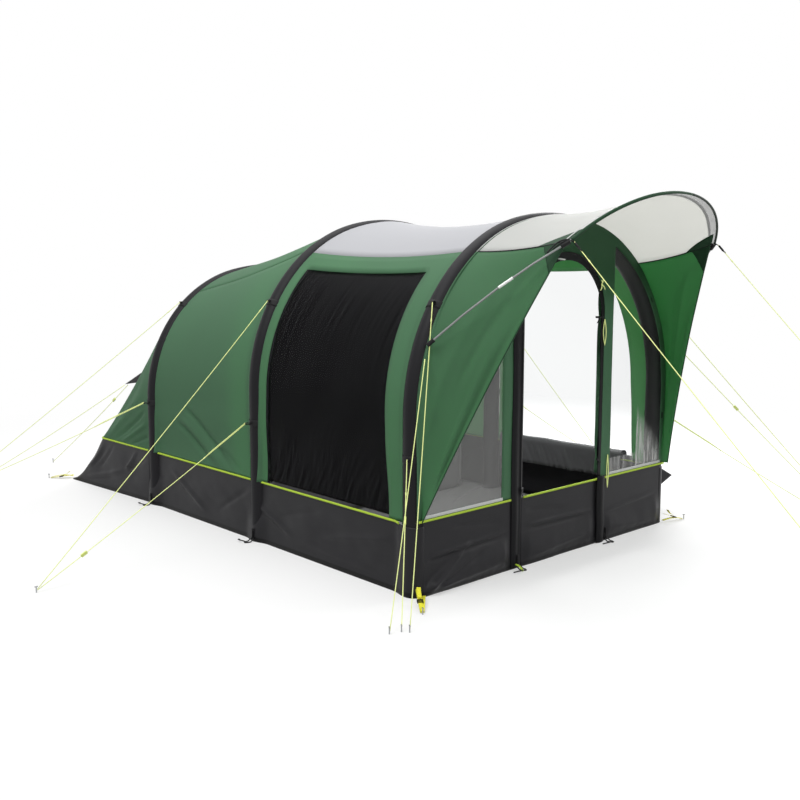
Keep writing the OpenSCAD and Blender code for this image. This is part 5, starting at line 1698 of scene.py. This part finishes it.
def blindRollAt(k, h):
    spiral = min(k, 1.0)
    a = spiral * rollUp["turns"] * 2 * pi + rollUp["start"]
    droop = rollUp["droop"] * ripple(Vector((h * 3, spiral, 0)), (2, 1, 1), 4.0)
    uneven = 1 + rollUp["uneven"] * ripple(Vector((a * 0.25, h * 6, spiral)), (1, 1, 1), 2.0)
    r = mix(rollUp["core"], rollUp["r"], spiral) * uneven
    p = mix(rollStart, rollEnd, h) + rollLift + Vector((r * cos(a), 0, r * sin(a) + droop))
    if k > 1:
        hang = k - 1
        pleat = noiseAt(h * 34 + hang * 16, hang * 4, 0) + 0.6 * noiseAt(h * 80 + hang * 30, hang * 7, 3)
        out, along = rollUp["pleat"]
        p += Vector((out * pleat * smooth(0, 0.06, hang) - rollUp["back"] * hang, along * pleat, -hang))
    return p


cloth("rightBlindRoll", steps(0, 1, 100) + rollUp["hang"], steps(0, 1, 220), blindRollAt, rollUp["t"],
      "blindGloss", "right_blind_roll", "folded")
print("hoods, bedroom, groundsheet")

# Webbing tabs: a band round the sleeve and a folded tab that holds the guyline
wrap = {"r": 0.0655, "sweep": 112, "wide": 0.042, "t": 0.0018, "root": 0.0625, "tab": 0.022, "tabT": 0.0022,
        "middle": 0.55}
bands, folds = [], []
for count, (name, (arch, y, u, long)) in enumerate(tabs.items()):
    o = outAt(u)
    out, along = Vector((o.x, 0, o.y)), Vector((o.y, 0, -o.x))
    c = archAt(arch, u)
    middle = Vector((c.x, body["frontY"] if name.startswith("front") else y, c.y))
    band = [middle + wrap["r"] * (cos(a) * out + sin(a) * Vector((0, 1, 0)))
            for a in (radians(d) for d in steps(-wrap["sweep"], wrap["sweep"], 30))]
    base = Vector((c.x, y, c.y)) + out * wrap["root"]
    shape = ((0.0, -0.003), (long * wrap["middle"], -0.006), (long + 0.003, -0.004), (long + 0.0065, 0.0),
             (long + 0.003, 0.004), (long * wrap["middle"], 0.006), (0.0, 0.003))
    tab = [base + out * a + along * b for a, b in shape]
    for letter, turned in (("L", Vector), ("R", flipX)):
        mark = str(count) + letter
        bands.append(ribbonOf("band" + mark, [turned(p) for p in band], wrap["wide"], turned(along),
                              wrap["t"]))
        folds.append(ribbonOf("fold" + mark, [turned(p) for p in tab], wrap["tab"], (0, 1, 0), wrap["tabT"]))
sewn("guyTabs", bands + folds, None, "webbingBlack", "guy_tabs")

# Elastic loops at the feet, each with a loose tail, and yellow corner straps
pegLoop = {"r": 0.004, "sides": 8, "z": 0.0045, "ringOut": 0.012, "ringLong": 0.036, "ringWide": 0.016,
           "ringUp": 0.02, "tailOut": 0.03, "swing": 0.03, "tailSide": 0.014, "tailLong": 0.075,
           "tailUp": 0.012, "rootIn": 0.014, "rootZ": 0.012, "rootLong": 0.07, "rootR": 0.0055,
           "rootSquash": (1.6, 0.7),
           "spots": [(-1.226, body["midY"], -1), (1.226, body["midY"], 1), (-1.21, body["rearY"], -1),
                     (1.21, body["rearY"], 1), (front["doorLeft"] - 0.04, faceY - 0.036, 0),
                     (front["doorRight"] + 0.06, faceY - 0.036, 0)]}
upward = Vector((0, 0, 1))
loops = []
for x, y, way in pegLoop["spots"]:
    out = Vector((way, 0, 0)) if way else Vector((0, -1, 0))
    side = Vector((out.y, -out.x, 0))
    c = Vector((x, y, pegLoop["z"]))
    ring = [c + out * (pegLoop["ringOut"] + pegLoop["ringLong"] * cos(a))
            + side * pegLoop["ringWide"] * sin(a) + upward * pegLoop["ringUp"] * max(0.0, -cos(a))
            for a in turns(24)]
    tail = [c + out * (pegLoop["tailOut"] + pegLoop["swing"] * sin(3.2 * k))
            + side * (pegLoop["tailSide"] + pegLoop["tailLong"] * k)
            + upward * pegLoop["tailUp"] * hump(k) for k in steps(0, 1, 14)]
    root = [c - out * pegLoop["rootIn"] + upward * (pegLoop["rootZ"] + pegLoop["rootLong"] * k)
            for k in steps(0, 1, 5)]
    loops.append(tubeOf("loop", ring, pegLoop["r"], pegLoop["sides"], closed=True))
    loops.append(tubeOf("loop", tail, pegLoop["r"], pegLoop["sides"]))
    loops.append(tubeOf("loop", root, pegLoop["rootR"], pegLoop["sides"], pegLoop["rootSquash"]))
dress(joined("pegLoops", loops), "elasticBlack", "peg_loops")

tag = {"head": Vector((-0.412, faceY - 0.03, 0.036)), "end": Vector((-0.408, faceY - 0.086, 0.004)),
       "wide": 0.013, "side": (1, 0, 0.25), "curl": Vector((0, -0.006, 0.006)), "flat": (0.07, 0.014)}
line = [mix(tag["head"], tag["end"], k) + tag["curl"] * hump(k) for k in steps(0, 1, 8)]
sewn("footTag", [ribbonOf("footTag", line, tag["wide"], tag["side"])], None, "limePiping", held="hung",
     flat=tag["flat"])

corner = {"wide": 0.024, "lift": 0.004, "belly": 0.012, "backEnd": 0.97, "tailFrom": 0.44, "tailOff": 0.0075,
          "tailRun": 0.3, "tailLift": 0.004, "tailCurl": 0.022,
          "runs": [((-1.216, -2.128, 0.06), (-1.345, -2.298, 0.004), (-1.18, -2.138, 0.014)),
                   ((1.216, -2.128, 0.06), (1.375, -2.18, 0.004), (1.19, -2.138, 0.014)),
                   ((-1.216, 2.098, 0.034), (-1.35, 2.252, 0.004), (-1.2, 2.14, 0.014)),
                   ((1.216, 2.098, 0.034), (1.35, 2.252, 0.004), (1.2, 2.14, 0.014))]}
webs = []
for i, ends in enumerate(corner["runs"]):
    head, peg, foot = (Vector(end) for end in ends)
    run = peg - head
    side = Vector((run.y, -run.x, 0)).normalized()
    up = side.cross(run).normalized()
    up = up if up.z > 0 else -up
    start = mix(head, peg, corner["tailFrom"]) + up * corner["tailOff"]
    lead = [mix(head, peg, k) for k in steps(0, 1, 8)]
    back = [mix(foot, peg, k) + upward * (corner["lift"] + corner["belly"] * hump(k))
            for k in steps(0, corner["backEnd"], 10)]
    tail = [start - run * corner["tailRun"] * k + up * (corner["tailLift"] + corner["tailCurl"] * k * k)
            for k in steps(0, 1, 8)]
    for name, line in (("strapLead", lead), ("strapBack", back), ("strapTail", tail)):
        webs.append(ribbonOf(name + str(i), line, corner["wide"], side))
sewn("cornerStraps", webs, None, "yellowWebbing", "corner_straps")
print("webbing")

# CAD pieces that stay, by finish
kept = {"bladderFilm": ("front_air_bladder", "middle_air_bladder", "rear_air_bladder"),
        "valvePlastic": ("valve_bodies", "front_valve_cap", "middle_valve_cap", "rear_valve_cap"),
        "poleGrey": ("canopy_pole",), "ferruleWhite": ("pole_ferrules",), "pegSteel": ("ground_pegs",),
        "bucklePlastic": ("pole_pockets", "strap_buckles"),
        "zipMetal": ("door_zip_tape", "door_zip_slider"),
        "runnerPlastic": ("left_middle_runner", "left_front_runner", "right_front_runner",
                          "rear_hood_runner")}
for look, nodes in kept.items():
    for node in nodes:
        piece = frame["nodes"][node]
        piece.data.materials.clear()
        piece.data.materials.append(finish[look])
print("kept pieces", sum(len(nodes) for nodes in kept.values()))

# Pale floor, white surround, soft light
stage = {"floor": 60.0, "z": -0.0005, "pale": 0.86, "bounce": 0.32, "lift": 0.4, "near": 2.6, "far": 6.5,
         "rough": 0.7, "specular": 0.1, "world": 0.44, "aim": Vector((0, -0.6, 0.6))}


def seenRays(p):  # camera, glossy and transmission rays
    path = p.node("LightPath", None, None, "Is Camera Ray")
    return p.maths("MAXIMUM", p.maths("MAXIMUM", path, path.part(3)), path.part(6))


bpy.ops.object.select_all(action="DESELECT")
bpy.ops.mesh.primitive_plane_add(size=stage["floor"], location=(0, 0, stage["z"]))
floor = bpy.context.active_object
floor.name = "floor"
bpy.ops.object.transform_apply(location=True, rotation=True, scale=True)
made, p = startMaterial("paleFloor")
seen = seenRays(p)
spot = p.node("VectorMath", {"operation": "LENGTH"}, {0: p.node("TexCoord", None, None, "Object")}, 1)
away = p.node("MapRange", {"interpolation_type": "SMOOTHSTEP"},
              {"Value": spot, "From Min": stage["near"], "From Max": stage["far"], "To Min": stage["lift"],
               "To Max": 1.0})
tone = p.tint((stage["bounce"],) * 3 + (1,), (stage["pale"],) * 3 + (1,), seen)
lit = p.node("BsdfPrincipled", None, {
    "Base Color": tone, "Roughness": stage["rough"], "Specular IOR Level": stage["specular"]})
glow = p.node("Emission", None, {"Color": (1, 1, 1, 1), "Strength": 1.0})
p.node("OutputMaterial", None, {"Surface": p.node("MixShader", None, {0: seen * away, 1: lit, 2: glow})})
floor.data.materials.append(made)
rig.stage(floor)

world = bpy.data.worlds.new("surround")
world.use_nodes = True
world.node_tree.nodes.clear()
p = Paint(world.node_tree)
p.node("OutputWorld", None, {"Surface": p.node("Background", None, {
    "Color": (1, 1, 1, 1), "Strength": stage["world"] + seenRays(p) * (1.0 - stage["world"])})})
bpy.context.scene.world = world

lamps = {"key": {"place": (-6.5, -2.0, 9.0), "size": 6.0, "power": 500},
         "top": {"place": (0.5, 0.5, 8.5), "size": 8.0, "power": 370},
         "front": {"place": (-3.0, -9.0, 5.0), "size": 5.0, "power": 160},
         "back": {"place": (7.5, 2.2, 4.0), "size": 5.0, "power": 420},
         "right": {"place": (8.0, -4.5, 5.0), "size": 4.0, "power": 290},
         "inside": {"place": (0.1, -1.25, 1.75), "size": 0.8, "power": 22}}
for name, lamp in lamps.items():
    data = bpy.data.lights.new(name, "AREA")
    data.shape, data.size, data.energy = "DISK", lamp["size"], lamp["power"]
    made = bpy.data.objects.new(name, data)
    made.location = lamp["place"]
    made.rotation_euler = (stage["aim"] - Vector(lamp["place"])).to_track_quat("-Z", "Y").to_euler()
    bpy.context.scene.collection.objects.link(made)
print("stage and lamps")

with open("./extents.json", "w") as file:
    json.dump({"cad": [list(map(float, corner)) for corner in cadBox],
               "visual": [list(map(float, corner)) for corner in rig.bounds()]}, file)
